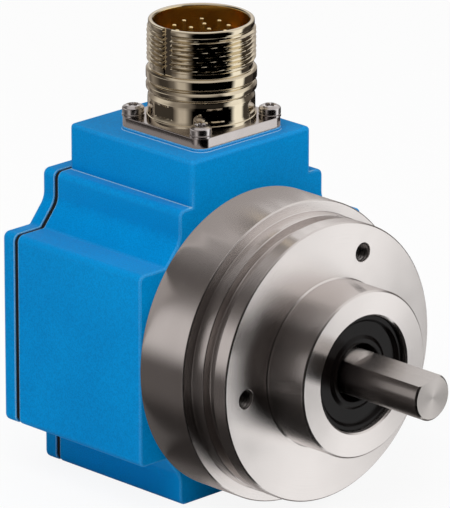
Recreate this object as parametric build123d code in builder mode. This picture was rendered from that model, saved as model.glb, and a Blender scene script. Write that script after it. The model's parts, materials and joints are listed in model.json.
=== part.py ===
"""Rotary encoder for a servo motor, face-mount type with clamp groove. All sizes in millimetres.

The shaft lies along +X and points out of the flange; +Z is up, through the round connector.
The origin is the centre of the flange's front mounting face.
"""

import os
from math import acos, cos, pi, radians, sin, tan

from build123d import *

os.makedirs("parts", exist_ok=True)

# Clearances
seat_gap = 0.02        # round seats inside one body
running_gap = 0.06     # shafts and lips that turn in or on another body
free_gap = 0.4         # turning pieces that must never touch

# Mounting flange, turned
flange_dia = 65.0      # widest turned band, flush with the housing
land_dia = 60.0        # front rim and clamp land
groove_dia = 56.0      # bottom of the clamp groove
rim_len = 3.5
groove_len = 3.1
land_len = 3.3
band_len = 12.65       # length of the widest band
collar_dia = 36.0      # pilot collar
collar_len = 10.5
collar_chamfer = 0.5
rim_chamfer = 0.3
spigot_dia = 46.0      # centres the flange in the housing's front wall
hole_pcd = 48.0        # mounting holes
hole_count = 3
hole_core_dia = 3.3    # M4 core
hole_mouth_dia = 4.3
hole_depth = 9.0
hole_first_angle = 65.0   # from +Y towards +Z

# Shaft
shaft_dia = 10.0
shaft_out = 30.1       # from the mounting face to the shaft's end
shaft_chamfer = 0.4
flat_height = 3.8      # from the shaft's axis to the flat
flat_len = 19.4
runout_len = 0.7       # shallow groove where the flat ends
runout_dia = 9.6
flat_turn = 8.7        # degrees that the flat's normal leans from +Z towards -Y
shoulder_dia = 13.0
tail_dia = 8.0         # behind the rear bearing
journal_dia = 4.0      # under the drive pinion
circlip_groove_dia = 9.4

# Lip seal
seal_od = 25.0
seal_len = 7.0
seal_recess = 1.2      # seal front behind the collar's front
seal_shell = 1.1
seal_web = 1.2
spring_dia = 1.1

# Ball bearings
bearing_od = 26.0
bearing_len = 8.0
bearing_spacing = 6.0  # between the two bearings
ball_dia = 4.762
ball_count = 7
ball_sides = 12        # a ball's and a groove's outline is drawn with this many sides
ball_circle = 18.0
inner_land_dia = 14.0
outer_land_dia = 22.0
cage_len = 5.2
cage_wall = 1.0
shield_thick = 0.3
shoulder_ring_len = 1.5
shoulder_bore = 19.0
washer_thick = 0.7
retaining_thick = 1.2
retaining_depth = 0.7  # depth of its groove in the flange bore
circlip_thick = 1.0

# Housing
arm_y_inset = 11.6     # from the housing's side to the upright arm's side
arm_z_inset = 11.4     # from the housing's top to the side arm's ledge
side_ledge = 7.5       # flat length of the side arm's ledge
arm_side = 6.5         # flat length of the upright arm's side
housing_len = 36.95
housing_wall = 3.0
front_wall = 4.0
outer_corner = 1.5
throat_corner = 4.0
ledge_corner = 0.8
housing_edge = 0.6
tower_half = 17.4
tower_height = 10.0    # above the upright arm
tower_root = 4.0       # depth of the tower in the arm
tower_roof = 7.0
tower_edge = 1.0
tower_wall = 3.0
pad_height = 0.7       # raised seat of the connector on the tower
pad_margin = 0.1
boss_dia = 7.0
boss_inset = 5.9       # from the side arm's faces to the boss's axis
gasket_thick = 1.1
gasket_recess = 0.3
cover_thick = 3.7
cover_edge = 1.0
cover_pocket = 1.3

# Small screws
screw_core_dia = 2.5   # M3 core
screw_hole_dia = 3.3
head_dia = 5.5
head_len = 1.9
head_edge = 0.4
head_socket = 2.0      # across the flats of the hex socket
socket_depth = 1.1
cover_screw_len = 10.0
flange_screw_len = 9.0
flange_screw_inset = 3.2    # from the spigot to the screws' axes
flange_screw_count = 4
head_recess_dia = 6.2
head_recess_depth = 2.2

# O-rings
ring_section = 1.5
ring_groove_len = 2.2
ring_sides = 8         # a hidden ring's section is drawn with this many sides

# Connector
connector_x = -37.6
plate_size = 25.0
plate_corner = 2.8
connector_plate_thick = 2.2
plate_seal_dia = 23.6
plate_seal_thick = 0.6
connector_screw_pitch = 20.2
connector_head_dia = 4.7
connector_head_len = 2.1
connector_washer_dia = 4.8
connector_washer_thick = 0.35
connector_screw_len = 8.0
shell_dia = 22.6
shell_hex_size = 21.9
ridge_dia = 23.3
relief_dia = 21.6
thread_dia = 23.0
lip_dia = 22.3
lip_edge = 0.4
cup_dia = 20.2
shell_bore_dia = 18.4
shell_foot_dia = 20.6
shell_corner = 0.3
thread_lead = 0.3
insert_ring_thick = 1.0
insert_ring_bore = 13.2
pin_dia = 1.0
pin_sides = 12

# Heights in the connector, above the plate's top face
plate_ring_height = 1.0
hex_low_height = 1.6
hex_top_height = 4.2
low_ridge_height = 5.9
low_ridge_len = 1.9
ridge_gap = 0.5
high_ridge_len = 2.4
relief_len = 1.1
thread_len = 8.3
lip_len = 1.2
insert_height = 12.4
pin_height = 4.7       # above the insert's face
foot_depth = 9.5
insert_depth = 8.3
pin_tail_depth = 12.0
connector_board_depth = 11.4
outer_pins = 9
outer_pin_circle = 11.5
outer_pin_angle = 15.0 # the first pin, from +X towards +Y
inner_pins = 3
inner_pin_circle = 4.5
inner_pin_angle = 0.0

# Code disc and sensing
hub_dia = 13.0
hub_flange_dia = 16.0
hub_flange_len = 1.2
hub_len = 6.1
disc_boss_dia = 10.0
disc_margin = 1.0      # between the disc and the spacers
disc_thick = 1.0
clamp_ring_dia = 13.6
clamp_ring_thick = 1.1
set_screw_dia = 2.0
board_thick = 1.2
sensor_board_margin = 2.5  # beyond the stack screws' axes
sensor_board_bore = 16.4
sensor_gap = 4.45      # from the spigot's end to the sensor board
light_block = (2.0, 7.0, 9.0)
light_inset = 4.1      # from the disc's edge
chip_size = (0.6, 6.0, 8.0)
chip_inset = 4.3

# Turns counter
gear_module = 0.45
pinion_teeth = 16
wheel_teeth = 48
tooth_height = 0.82    # tooth tip above the pitch circle, in modules
tooth_root = 1.2       # tooth root below the pitch circle, in modules
backlash = 0.11
gear_face = 2.0
gear_plane_gap = 0.8
axle_dia = 2.0
gear_hub_dia = 4.6
magnet_dia = 6.4
magnet_thick = 1.4
first_gear_angle = 0.0   # from +Y towards +Z
second_gear_turn = 60.0
plate_thick = 1.5
gear_plate_margin = 4.5
gear_plate_gap = 2.8     # from the sensor board to the front gear plate
gear_plate_bore = 11.0
gear_box_len = 8.5       # between the gear plates

# Board stack
stack_angles = (130.0, 215.0, 300.0)
stack_inset = 3.0      # from the spigot's edge to the stack screws' axes
spacer_dia = 5.0
spacer_bore = 2.9
stack_screw_core = 2.05
stack_screw_grip = 6.0   # depth in the flange
stack_head_dia = 4.6
stack_head_len = 1.8
board_gap = 3.4
main_board_margin = 4.0
main_board_thick = 1.6
lead_width = 12.0
lead_thick = 0.3
lead_bend = 3.0
connector_board_dia = 17.6

# Places along the shaft, worked out from the lengths above
groove_front = -rim_len
groove_rear = groove_front - groove_len
step_x = groove_rear - land_len
housing_front = step_x - band_len
housing_rear = housing_front - housing_len
cover_front = housing_rear - gasket_thick
cover_rear = cover_front - cover_thick
spigot_end = housing_front - front_wall
seal_front = collar_len - seal_recess
seal_rear = seal_front - seal_len
front_bearing_x = seal_rear - shoulder_ring_len      # front faces of the bearings
rear_bearing_x = front_bearing_x - bearing_len - bearing_spacing
bearing_end = rear_bearing_x - bearing_len
retaining_front = bearing_end - washer_thick
tail_start = bearing_end - circlip_thick - 0.7
hub_end = tail_start - hub_len
disc_end = hub_end - disc_thick
sensor_front = spigot_end - sensor_gap
sensor_rear = sensor_front - board_thick
gear_plate_front = sensor_rear - gear_plate_gap
gear_plate_back = gear_plate_front - plate_thick
first_plane = gear_plate_back - 1.1                  # front faces of the two gear planes
second_plane = first_plane - gear_face - gear_plane_gap
rear_plate_front = gear_plate_back - gear_box_len
rear_plate_back = rear_plate_front - plate_thick
main_front = rear_plate_back - board_gap
main_rear = main_front - main_board_thick

# Sizes across the shaft that follow from others
half = flange_dia / 2                                # the housing is flush with the flange
arm_y_half = half - arm_y_inset
arm_z_half = half - arm_z_inset
slope_y = half - side_ledge
slope_z = half - arm_side
boss_y = half - boss_inset
boss_z = arm_z_half - boss_inset
tower_top = half + tower_height
flange_screw_radius = spigot_dia / 2 + flange_screw_inset
stack_radius = spigot_dia / 2 - stack_inset
disc_dia = 2 * (stack_radius - disc_margin) - spacer_dia
light_radius = disc_dia / 2 - light_inset
chip_radius = disc_dia / 2 - chip_inset
sensor_board_dia = 2 * (stack_radius + sensor_board_margin)
gear_plate_dia = 2 * (stack_radius + gear_plate_margin)
main_board_dia = 2 * (stack_radius + main_board_margin)

# Heights of the connector's faces
pad_top = tower_top + pad_height
plate_top = pad_top + connector_plate_thick
low_ridge_bottom = plate_top + low_ridge_height
low_ridge_top = low_ridge_bottom + low_ridge_len
high_ridge_bottom = low_ridge_top + ridge_gap
high_ridge_top = high_ridge_bottom + high_ridge_len
thread_bottom = high_ridge_top + relief_len
thread_top = thread_bottom + thread_len
shell_top = thread_top + lip_len
insert_top = plate_top + insert_height
insert_bottom = plate_top - insert_depth
pin_top = insert_top + pin_height
pin_tail = plate_top - pin_tail_depth
foot_bottom = plate_top - foot_depth


def place(x, radius, angle):
    """A point beside the shaft axis, at an angle from +Y towards +Z."""
    return (x, radius * cos(radians(angle)), radius * sin(radians(angle)))


def cross_outline(inset, corner, throat, ledge):
    """The housing's cross-shaped outline, drawn on the YZ plane's own axes and moved in by inset."""
    quarter = [(half, arm_z_half), (slope_y, arm_z_half), (arm_y_half, slope_z), (arm_y_half, half)]
    points = quarter + [(-y, z) for y, z in reversed(quarter)]
    points += [(-y, -z) for y, z in quarter] + [(y, -z) for y, z in reversed(quarter)]
    with BuildSketch() as outline:
        with BuildLine():
            Polyline(*points, close=True)
        make_face()
        if inset > 0:
            offset(amount=-inset, kind=Kind.INTERSECTION, mode=Mode.REPLACE)
        edge = half - inset - 0.01
        tips = outline.vertices().filter_by(lambda v: max(abs(v.X), abs(v.Y)) > edge)
        fillet(tips, corner)
        side = arm_y_half - inset
        throats = outline.vertices().filter_by(
            lambda v: abs(abs(v.X) - side) < 0.01 and side < abs(v.Y) < edge - corner)
        fillet(throats, throat)
        side = arm_z_half - inset
        ledges = outline.vertices().filter_by(
            lambda v: abs(abs(v.Y) - side) < 0.01 and arm_y_half - inset < abs(v.X) < edge - corner)
        fillet(ledges, ledge)
    return outline.sketch


def ring_piece(x_front, length, outer_dia, inner_dia):
    """A plain ring about the shaft axis, from x_front backwards."""
    with BuildPart() as piece:
        with BuildSketch(Plane.YZ.offset(x_front)):
            Circle(outer_dia / 2)
            if inner_dia > 0:
                Circle(inner_dia / 2, mode=Mode.SUBTRACT)
        extrude(amount=-length)
    return piece.part


def turned(points):
    """A solid turned about the shaft axis from its (x, radius) outline."""
    with BuildPart() as piece:
        with BuildSketch(Plane.XY):
            with BuildLine():
                Polyline(*points, close=True)
            make_face()
        revolve(axis=Axis.X)
    return piece.part


def turned_up(points):
    """A solid turned about the connector's axis from its (radius, z) outline."""
    with BuildPart() as piece:
        with BuildSketch(Plane.XZ):
            with BuildLine():
                Polyline(*[(connector_x + r, z) for r, z in points], close=True)
            make_face()
        revolve(axis=Axis((connector_x, 0, 0), (0, 0, 1)))
    return piece.part


def socket_screw(head, head_height, shank, length, socket, depth):
    """A screw standing on the XY plane: head above it, shank below, hex socket on top."""
    with BuildPart() as screw:
        with BuildSketch(Plane.XZ):
            with BuildLine():
                Polyline((0, head_height), (head / 2 - head_edge, head_height),
                         (head / 2, head_height - head_edge), (head / 2, 0), (shank / 2, 0),
                         (shank / 2, -length), (0, -length), close=True)
            make_face()
        revolve(axis=Axis.Z)
        with BuildSketch(Plane.XY.offset(head_height)):
            RegularPolygon(socket / 2, 6, major_radius=False)
        extrude(amount=-depth, mode=Mode.SUBTRACT)
    return screw.part


def finish(part, name):
    """Give a finished piece its label and write it out."""
    part.label = name
    export_step(part, f"parts/{name}.step")


def group(solids, name):
    """Join separate solids of one kind into one labelled node and write it out."""
    finish(Compound(children=list(solids)), name)


def facing(x, y, z, direction):
    """A place at a point whose own +Z looks along direction."""
    return Location(Plane(origin=(x, y, z), z_dir=direction))


# Housing body: a die-cast shell, open at the back, with the connector tower on top
boss_places = [(sy * boss_y, sz * boss_z) for sy in (-1, 1) for sz in (-1, 1)]
flange_screw_angles = [90.0 * i for i in range(flange_screw_count)]
connector_holes = [(connector_x + sx * connector_screw_pitch / 2, sy * connector_screw_pitch / 2)
                   for sx in (-1, 1) for sy in (-1, 1)]
with BuildPart() as housing_body:
    with BuildSketch(Plane.YZ.offset(housing_front)):
        add(cross_outline(0, outer_corner, throat_corner, ledge_corner))
    extrude(amount=-housing_len)
    front_edges = housing_body.faces().sort_by(Axis.X)[-1].outer_wire().edges()
    chamfer(front_edges, housing_edge / 2)
    with BuildPart(mode=Mode.PRIVATE) as tower:
        with BuildSketch(Plane.XY.offset(half - tower_root)):
            with Locations(((housing_front + housing_rear) / 2, 0)):
                Rectangle(housing_len, 2 * tower_half)
        extrude(amount=tower_height + tower_root)
        roof_edges = tower.faces().sort_by(Axis.Z)[-1].edges()
        upright = tower.edges().filter_by(Axis.Z)
        fillet(roof_edges + upright, tower_edge)
    add(tower.part)
    pad_size = plate_size + 2 * pad_margin
    with BuildSketch(Plane.XY.offset(tower_top)):
        with Locations((connector_x, 0)):
            RectangleRounded(pad_size, pad_size, plate_corner)
    extrude(amount=pad_height)
    with BuildSketch(Plane.YZ.offset(housing_front - front_wall)):
        add(cross_outline(housing_wall, outer_corner, throat_corner, ledge_corner))
    extrude(amount=front_wall - housing_len, mode=Mode.SUBTRACT)
    tower_room = housing_len - front_wall - tower_wall
    with BuildSketch(Plane.XY.offset(tower_top - tower_roof)):
        with Locations((housing_rear + tower_wall + tower_room / 2, 0)):
            Rectangle(tower_room, 2 * (tower_half - tower_wall))
    extrude(amount=-(tower_top - tower_roof - half + housing_wall + 1), mode=Mode.SUBTRACT)
    with BuildSketch(Plane.YZ.offset(housing_front - front_wall)):
        with Locations(*boss_places):
            Circle(boss_dia / 2)
    extrude(amount=front_wall - housing_len)
    with BuildSketch(Plane.YZ.offset(housing_rear)):
        with Locations(*boss_places):
            Circle(screw_core_dia / 2)
    extrude(amount=cover_screw_len, mode=Mode.SUBTRACT)
    with BuildSketch(Plane.YZ.offset(housing_front)):
        Circle(spigot_dia / 2 + seat_gap)
        with PolarLocations(flange_screw_radius, flange_screw_count):
            Circle(screw_hole_dia / 2)
    extrude(amount=-front_wall, mode=Mode.SUBTRACT)
    with BuildSketch(Plane.XY.offset(pad_top)):
        with Locations((connector_x, 0)):
            Circle(shell_foot_dia / 2 + seat_gap)
    extrude(amount=-pad_height - tower_roof - 1, mode=Mode.SUBTRACT)
    with BuildSketch(Plane.XY.offset(pad_top)):
        with Locations((connector_x, 0)):
            Circle(plate_seal_dia / 2 + seat_gap)
    extrude(amount=-plate_seal_thick, mode=Mode.SUBTRACT)
    with BuildSketch(Plane.XY.offset(pad_top)):
        with Locations(*connector_holes):
            Circle(screw_core_dia / 2)
    extrude(amount=connector_plate_thick - connector_screw_len, mode=Mode.SUBTRACT)
finish(housing_body.part, "housing_body")

# Cover gasket: follows the wall and the screw bosses
with BuildPart() as cover_gasket:
    with BuildSketch(Plane.YZ.offset(housing_rear)):
        add(cross_outline(gasket_recess, outer_corner, throat_corner, ledge_corner))
        add(cross_outline(housing_wall, outer_corner, throat_corner, ledge_corner), mode=Mode.SUBTRACT)
        with Locations(*boss_places):
            Circle(boss_dia / 2)
            Circle(screw_hole_dia / 2, mode=Mode.SUBTRACT)
    extrude(amount=-gasket_thick)
finish(cover_gasket.part, "cover_gasket")

# Rear cover: a flat casting with the housing's outline, pocketed inside
with BuildPart() as rear_cover:
    with BuildSketch(Plane.YZ.offset(cover_front)):
        add(cross_outline(0, outer_corner, throat_corner, ledge_corner))
    extrude(amount=-cover_thick)
    fillet(rear_cover.faces().sort_by(Axis.X)[0].outer_wire().edges(), cover_edge)
    with BuildSketch(Plane.YZ.offset(cover_front)):
        add(cross_outline(housing_wall, outer_corner, throat_corner, ledge_corner))
        with Locations(*boss_places):
            Circle(boss_dia / 2, mode=Mode.SUBTRACT)
    extrude(amount=-cover_pocket, mode=Mode.SUBTRACT)
    with BuildSketch(Plane.YZ.offset(cover_rear)):
        with Locations(*boss_places):
            Circle(head_recess_dia / 2)
    extrude(amount=head_recess_depth, mode=Mode.SUBTRACT)
    with BuildSketch(Plane.YZ.offset(cover_rear)):
        with Locations(*boss_places):
            Circle(screw_hole_dia / 2)
    extrude(amount=cover_thick, mode=Mode.SUBTRACT)
finish(rear_cover.part, "rear_cover")

cover_screw = socket_screw(head_dia, head_len, screw_core_dia, cover_screw_len, head_socket, socket_depth)
group([cover_screw.moved(facing(cover_rear + head_recess_depth, y, z, (-1, 0, 0))) for y, z in boss_places],
      "cover_screws")

# Mounting flange: turned in one piece, with clamp groove, pilot collar, seal and bearing bores
retaining_rear = retaining_front - retaining_thick
bearing_bore = bearing_od / 2 + seat_gap
ring_front = spigot_end + (front_wall + ring_groove_len) / 2
ring_rear = ring_front - ring_groove_len
with BuildPart() as mounting_flange:
    with BuildSketch(Plane.XY):
        with BuildLine():
            Polyline(
                (collar_len, seal_od / 2 + 0.4), (collar_len, collar_dia / 2 - collar_chamfer),
                (collar_len - collar_chamfer, collar_dia / 2), (0, collar_dia / 2),
                (0, land_dia / 2 - rim_chamfer), (-rim_chamfer, land_dia / 2),
                (groove_front, land_dia / 2), (groove_front, groove_dia / 2),
                (groove_rear, groove_dia / 2), (groove_rear, land_dia / 2),
                (step_x, land_dia / 2), (step_x, flange_dia / 2 - rim_chamfer),
                (step_x - rim_chamfer, flange_dia / 2), (housing_front, flange_dia / 2),
                (housing_front, spigot_dia / 2),
                (ring_front, spigot_dia / 2), (ring_front, spigot_dia / 2 - ring_section),
                (ring_rear, spigot_dia / 2 - ring_section), (ring_rear, spigot_dia / 2),
                (spigot_end, spigot_dia / 2), (spigot_end, bearing_bore),
                (retaining_rear, bearing_bore), (retaining_rear, bearing_bore + retaining_depth),
                (retaining_front, bearing_bore + retaining_depth), (retaining_front, bearing_bore),
                (front_bearing_x, bearing_bore), (front_bearing_x, shoulder_bore / 2),
                (seal_rear, shoulder_bore / 2), (seal_rear, seal_od / 2 + seat_gap),
                (collar_len - 0.4, seal_od / 2 + seat_gap), close=True)
        make_face()
    revolve(axis=Axis.X)
    with BuildSketch(Plane.YZ):
        with PolarLocations(hole_pcd / 2, hole_count, start_angle=hole_first_angle):
            Circle(hole_core_dia / 2)
    extrude(amount=-hole_depth, mode=Mode.SUBTRACT)
    mouth_depth = (hole_mouth_dia - hole_core_dia) / 2
    for i in range(hole_count):
        mouth = place(0, hole_pcd / 2, hole_first_angle + i * 360 / hole_count)
        with Locations(Location(Plane(origin=mouth, z_dir=(1, 0, 0)))):
            Cone(hole_core_dia / 2, hole_mouth_dia / 2, mouth_depth,
                 align=(Align.CENTER, Align.CENTER, Align.MAX), mode=Mode.SUBTRACT)
    with BuildSketch(Plane.YZ.offset(housing_front)):
        with PolarLocations(flange_screw_radius, flange_screw_count):
            Circle(screw_core_dia / 2)
    extrude(amount=flange_screw_len - front_wall + 0.5, mode=Mode.SUBTRACT)
    with BuildSketch(Plane.YZ.offset(spigot_end)):
        with Locations(*[place(0, stack_radius, a)[1:] for a in stack_angles]):
            Circle(stack_screw_core / 2)
    extrude(amount=stack_screw_grip + 0.5, mode=Mode.SUBTRACT)
finish(mounting_flange.part, "mounting_flange")

# Flange O-ring in the spigot's groove
with BuildPart() as flange_ring:
    with BuildSketch(Plane.XY):
        with Locations((spigot_end + front_wall / 2, spigot_dia / 2 - ring_section / 2)):
            RegularPolygon(ring_section / 2 - seat_gap, ring_sides)
    revolve(axis=Axis.X)
finish(flange_ring.part, "flange_ring")

flange_screw = socket_screw(head_dia, head_len, screw_core_dia, flange_screw_len, head_socket, socket_depth)
group([flange_screw.moved(facing(*place(spigot_end, flange_screw_radius, a), (-1, 0, 0)))
       for a in flange_screw_angles], "flange_screws")

# Shaft seal: rubber-covered case, web and lip, with the lip's spring
lip_x = seal_rear + seal_len / 2
lip_radius = shaft_dia / 2 + running_gap
with BuildPart() as shaft_seal:
    with BuildSketch(Plane.XY):
        with BuildLine():
            Polyline(
                (seal_front, seal_od / 2 - 0.3), (seal_front, seal_od / 2 - seal_shell),
                (seal_front - 0.9, seal_od / 2 - seal_shell - 0.5), (seal_front - 0.9, shaft_dia / 2 + 2.6),
                (seal_front - 0.5, shaft_dia / 2 + 1.9), (seal_front - 0.7, shaft_dia / 2 + 1.3),
                (lip_x + 1.0, shaft_dia / 2 + 0.5), (lip_x, lip_radius),
                (lip_x - 1.6, shaft_dia / 2 + 0.9), (lip_x - 1.6, shaft_dia / 2 + 1.5),
                (lip_x + 0.9, shaft_dia / 2 + 1.5), (seal_front - 0.9 - seal_web, shaft_dia / 2 + 2.9),
                (seal_front - 0.9 - seal_web, seal_od / 2 - seal_shell),
                (seal_rear, seal_od / 2 - seal_shell), (seal_rear, seal_od / 2 - 0.3),
                (seal_rear + 0.3, seal_od / 2), (seal_front - 0.3, seal_od / 2), close=True)
        make_face()
    revolve(axis=Axis.X)
finish(shaft_seal.part, "shaft_seal")

with BuildPart() as seal_spring:
    with BuildSketch(Plane.XY):
        with Locations((lip_x - 0.5, shaft_dia / 2 + 1.5 + spring_dia / 2 + seat_gap)):
            RegularPolygon(spring_dia / 2, ring_sides)
    revolve(axis=Axis.X)
finish(seal_spring.part, "seal_spring")

# Ball bearings: shielded, seven balls each
race_radius = ball_dia / 2 + running_gap
with BuildPart() as ball_form:
    with BuildSketch(Plane.XY):
        RegularPolygon(ball_dia / 2, ball_sides)
        with Locations((0, -ball_dia / 2)):
            Rectangle(2 * ball_dia, ball_dia, mode=Mode.SUBTRACT)
    revolve(axis=Axis.X)
ball = ball_form.part


def bearing(front_x, name):
    """Write the rings, shields, balls and cage of one bearing whose front face is at front_x."""
    middle = front_x - bearing_len / 2
    with BuildPart() as outer:
        with BuildSketch(Plane.XY):
            with Locations((middle, (bearing_od + outer_land_dia) / 4)):
                Rectangle(bearing_len, (bearing_od - outer_land_dia) / 2)
            with Locations((middle, ball_circle / 2)):
                RegularPolygon(race_radius, ball_sides, major_radius=False, mode=Mode.SUBTRACT)
        revolve(axis=Axis.X)
    finish(outer.part, f"{name}_bearing_outer_ring")
    bore = shaft_dia / 2 + seat_gap
    with BuildPart() as inner:
        with BuildSketch(Plane.XY):
            with Locations((middle, (inner_land_dia / 2 + bore) / 2)):
                Rectangle(bearing_len, inner_land_dia / 2 - bore)
            with Locations((middle, ball_circle / 2)):
                RegularPolygon(race_radius, ball_sides, major_radius=False, mode=Mode.SUBTRACT)
        revolve(axis=Axis.X)
    finish(inner.part, f"{name}_bearing_inner_ring")
    shield_bore = inner_land_dia + 2 * free_gap
    inset = 0.4
    shields = [ring_piece(front_x - inset, shield_thick, outer_land_dia, shield_bore),
               ring_piece(front_x - bearing_len + inset + shield_thick, shield_thick, outer_land_dia,
                          shield_bore)]
    group(shields, f"{name}_bearing_shields")
    ball_places = [place(middle, ball_circle / 2, i * 360 / ball_count) for i in range(ball_count)]
    balls = [ball.moved(Location(p)) for p in ball_places]
    group(balls, f"{name}_bearing_balls")
    with BuildPart() as cage:
        with BuildSketch(Plane.YZ.offset(middle)):
            Circle((ball_circle + cage_wall) / 2)
            Circle((ball_circle - cage_wall) / 2, mode=Mode.SUBTRACT)
        extrude(amount=cage_len / 2, both=True)
        for i in range(ball_count):
            with Locations(facing(middle, 0, 0, place(0, 1, i * 360 / ball_count))):
                Cylinder(race_radius, ball_circle, align=(Align.CENTER, Align.CENTER, Align.MIN),
                         mode=Mode.SUBTRACT)
    finish(cage.part, f"{name}_bearing_cage")


bearing(front_bearing_x, "front")
bearing(rear_bearing_x, "rear")

finish(ring_piece(front_bearing_x - bearing_len, bearing_spacing, bearing_od, outer_land_dia),
       "bearing_spacer")
finish(ring_piece(bearing_end, washer_thick, bearing_od - 0.6, outer_land_dia), "preload_washer")

# Retaining ring in the flange bore: an open ring with two eyed lugs
with BuildPart() as retaining_ring:
    with BuildSketch(Plane.YZ.offset(retaining_front)):
        Circle(bearing_bore + retaining_depth - 0.1)
        Circle(outer_land_dia / 2 + 0.3, mode=Mode.SUBTRACT)
        with Locations((0, -outer_land_dia / 2)):
            Rectangle(7.0, 3.4)
            Rectangle(2.4, 9.0, mode=Mode.SUBTRACT)
        with Locations((-2.3, -outer_land_dia / 2 + 0.1), (2.3, -outer_land_dia / 2 + 0.1)):
            Circle(0.7, mode=Mode.SUBTRACT)
    extrude(amount=-retaining_thick)
finish(retaining_ring.part, "retaining_ring")

# Shaft: shoulder between the bearings, flat on the free end, thin tail inside
tail_end = gear_plate_back - 0.2
flat_start = shaft_out - flat_len
circlip_rear = bearing_end - circlip_thick - 0.1
with BuildPart() as shaft:
    with BuildSketch(Plane.XY):
        with BuildLine():
            Polyline(
                (shaft_out, 0), (shaft_out, shaft_dia / 2 - shaft_chamfer),
                (shaft_out - shaft_chamfer, shaft_dia / 2), (flat_start, shaft_dia / 2),
                (flat_start, runout_dia / 2), (flat_start - runout_len, runout_dia / 2),
                (flat_start - runout_len, shaft_dia / 2), (front_bearing_x - bearing_len, shaft_dia / 2),
                (front_bearing_x - bearing_len, shoulder_dia / 2), (rear_bearing_x, shoulder_dia / 2),
                (rear_bearing_x, shaft_dia / 2), (bearing_end, shaft_dia / 2),
                (bearing_end, circlip_groove_dia / 2), (circlip_rear, circlip_groove_dia / 2),
                (circlip_rear, shaft_dia / 2), (tail_start, shaft_dia / 2),
                (tail_start, tail_dia / 2), (tail_end, tail_dia / 2), (tail_end, journal_dia / 2),
                (first_plane - gear_face, journal_dia / 2), (first_plane - gear_face, 0), close=True)
        make_face()
    revolve(axis=Axis.X)
    flat_normal = (0, -sin(radians(flat_turn)), cos(radians(flat_turn)))
    flat_plane = Plane(origin=(shaft_out - flat_len / 2, 0, 0), x_dir=(1, 0, 0), z_dir=flat_normal)
    with BuildSketch(flat_plane.offset(flat_height)):
        Rectangle(flat_len, shaft_dia)
    extrude(amount=shaft_dia, mode=Mode.SUBTRACT)
finish(shaft.part, "shaft")

with BuildPart() as shaft_circlip:
    with BuildSketch(Plane.YZ.offset(bearing_end - 0.05)):
        Circle(circlip_groove_dia / 2 + 1.6)
        Circle(circlip_groove_dia / 2 + seat_gap, mode=Mode.SUBTRACT)
        with Locations((0, circlip_groove_dia / 2 + 1)):
            Rectangle(3.2, 4.4, mode=Mode.SUBTRACT)
    extrude(amount=-circlip_thick)
finish(shaft_circlip.part, "shaft_circlip")

# Disc hub, code disc and its clamp ring
tail_bore = tail_dia / 2 + seat_gap
screw_x = tail_start - 2.4
with BuildPart() as disc_hub:
    with BuildSketch(Plane.XY):
        with BuildLine():
            Polyline(
                (tail_start, tail_bore), (tail_start, hub_dia / 2), (hub_end + hub_flange_len, hub_dia / 2),
                (hub_end + hub_flange_len, hub_flange_dia / 2), (hub_end, hub_flange_dia / 2),
                (hub_end, disc_boss_dia / 2), (disc_end, disc_boss_dia / 2), (disc_end, tail_bore),
                close=True)
        make_face()
    revolve(axis=Axis.X)
    with BuildSketch(Plane.XY):
        with Locations((screw_x, 0)):
            Circle(set_screw_dia / 2)
    extrude(amount=hub_dia, mode=Mode.SUBTRACT)
finish(disc_hub.part, "disc_hub")
with BuildPart() as hub_set_screw:
    with BuildSketch(Plane.XY.offset(tail_bore + 0.05)):
        with Locations((screw_x, 0)):
            Circle(set_screw_dia / 2 - seat_gap)
    extrude(amount=hub_dia / 2 - tail_bore - 0.3)
finish(hub_set_screw.part, "hub_set_screw")
finish(ring_piece(hub_end, disc_thick, disc_dia, disc_boss_dia + 2 * seat_gap), "code_disc")
finish(ring_piece(disc_end, clamp_ring_thick, clamp_ring_dia, tail_dia + 2 * seat_gap), "disc_clamp_ring")

# Light source on the flange's spigot, in front of the disc
light_depth, light_wide, light_high = light_block
with BuildPart() as light_source:
    with BuildSketch(Plane.YZ.offset(spigot_end)):
        with Locations((-light_radius - light_wide / 2 + 1, 0)):
            RectangleRounded(light_wide + 2, light_high, 1.2)
    extrude(amount=-light_depth)
finish(light_source.part, "light_source")


def stack_holes(dia):
    """Circles at the places of the long stack screws."""
    with Locations(*[place(0, stack_radius, a)[1:] for a in stack_angles]):
        Circle(dia / 2, mode=Mode.SUBTRACT)


# Boards and gear plates, all carried on three long screws
with BuildPart() as sensor_board:
    with BuildSketch(Plane.YZ.offset(sensor_front)):
        Circle(sensor_board_dia / 2)
        Circle(sensor_board_bore / 2, mode=Mode.SUBTRACT)
        stack_holes(spacer_bore)
    extrude(amount=-board_thick)
finish(sensor_board.part, "sensor_board")
chip_depth, chip_wide, chip_high = chip_size
with BuildPart() as sensor_chip:
    with BuildSketch(Plane.YZ.offset(sensor_front)):
        with Locations((-chip_radius, 0)):
            Rectangle(chip_wide, chip_high)
    extrude(amount=chip_depth)
finish(sensor_chip.part, "sensor_chip")

gear_spacing = gear_module * (pinion_teeth + wheel_teeth) / 2
first_centre = place(0, gear_spacing, first_gear_angle)
second_centre = place(0, gear_spacing, first_gear_angle + second_gear_turn)
axle_centres = [first_centre[1:], second_centre[1:]]


def gear_plate(front_x, centre_bore, name):
    """Write one round plate that holds the gear axles."""
    with BuildPart() as plate:
        with BuildSketch(Plane.YZ.offset(front_x)):
            Circle(gear_plate_dia / 2)
            if centre_bore > 0:
                Circle(centre_bore / 2, mode=Mode.SUBTRACT)
            with Locations(*axle_centres):
                Circle(axle_dia / 2 + seat_gap, mode=Mode.SUBTRACT)
            stack_holes(spacer_bore)
        extrude(amount=-plate_thick)
    finish(plate.part, name)


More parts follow.
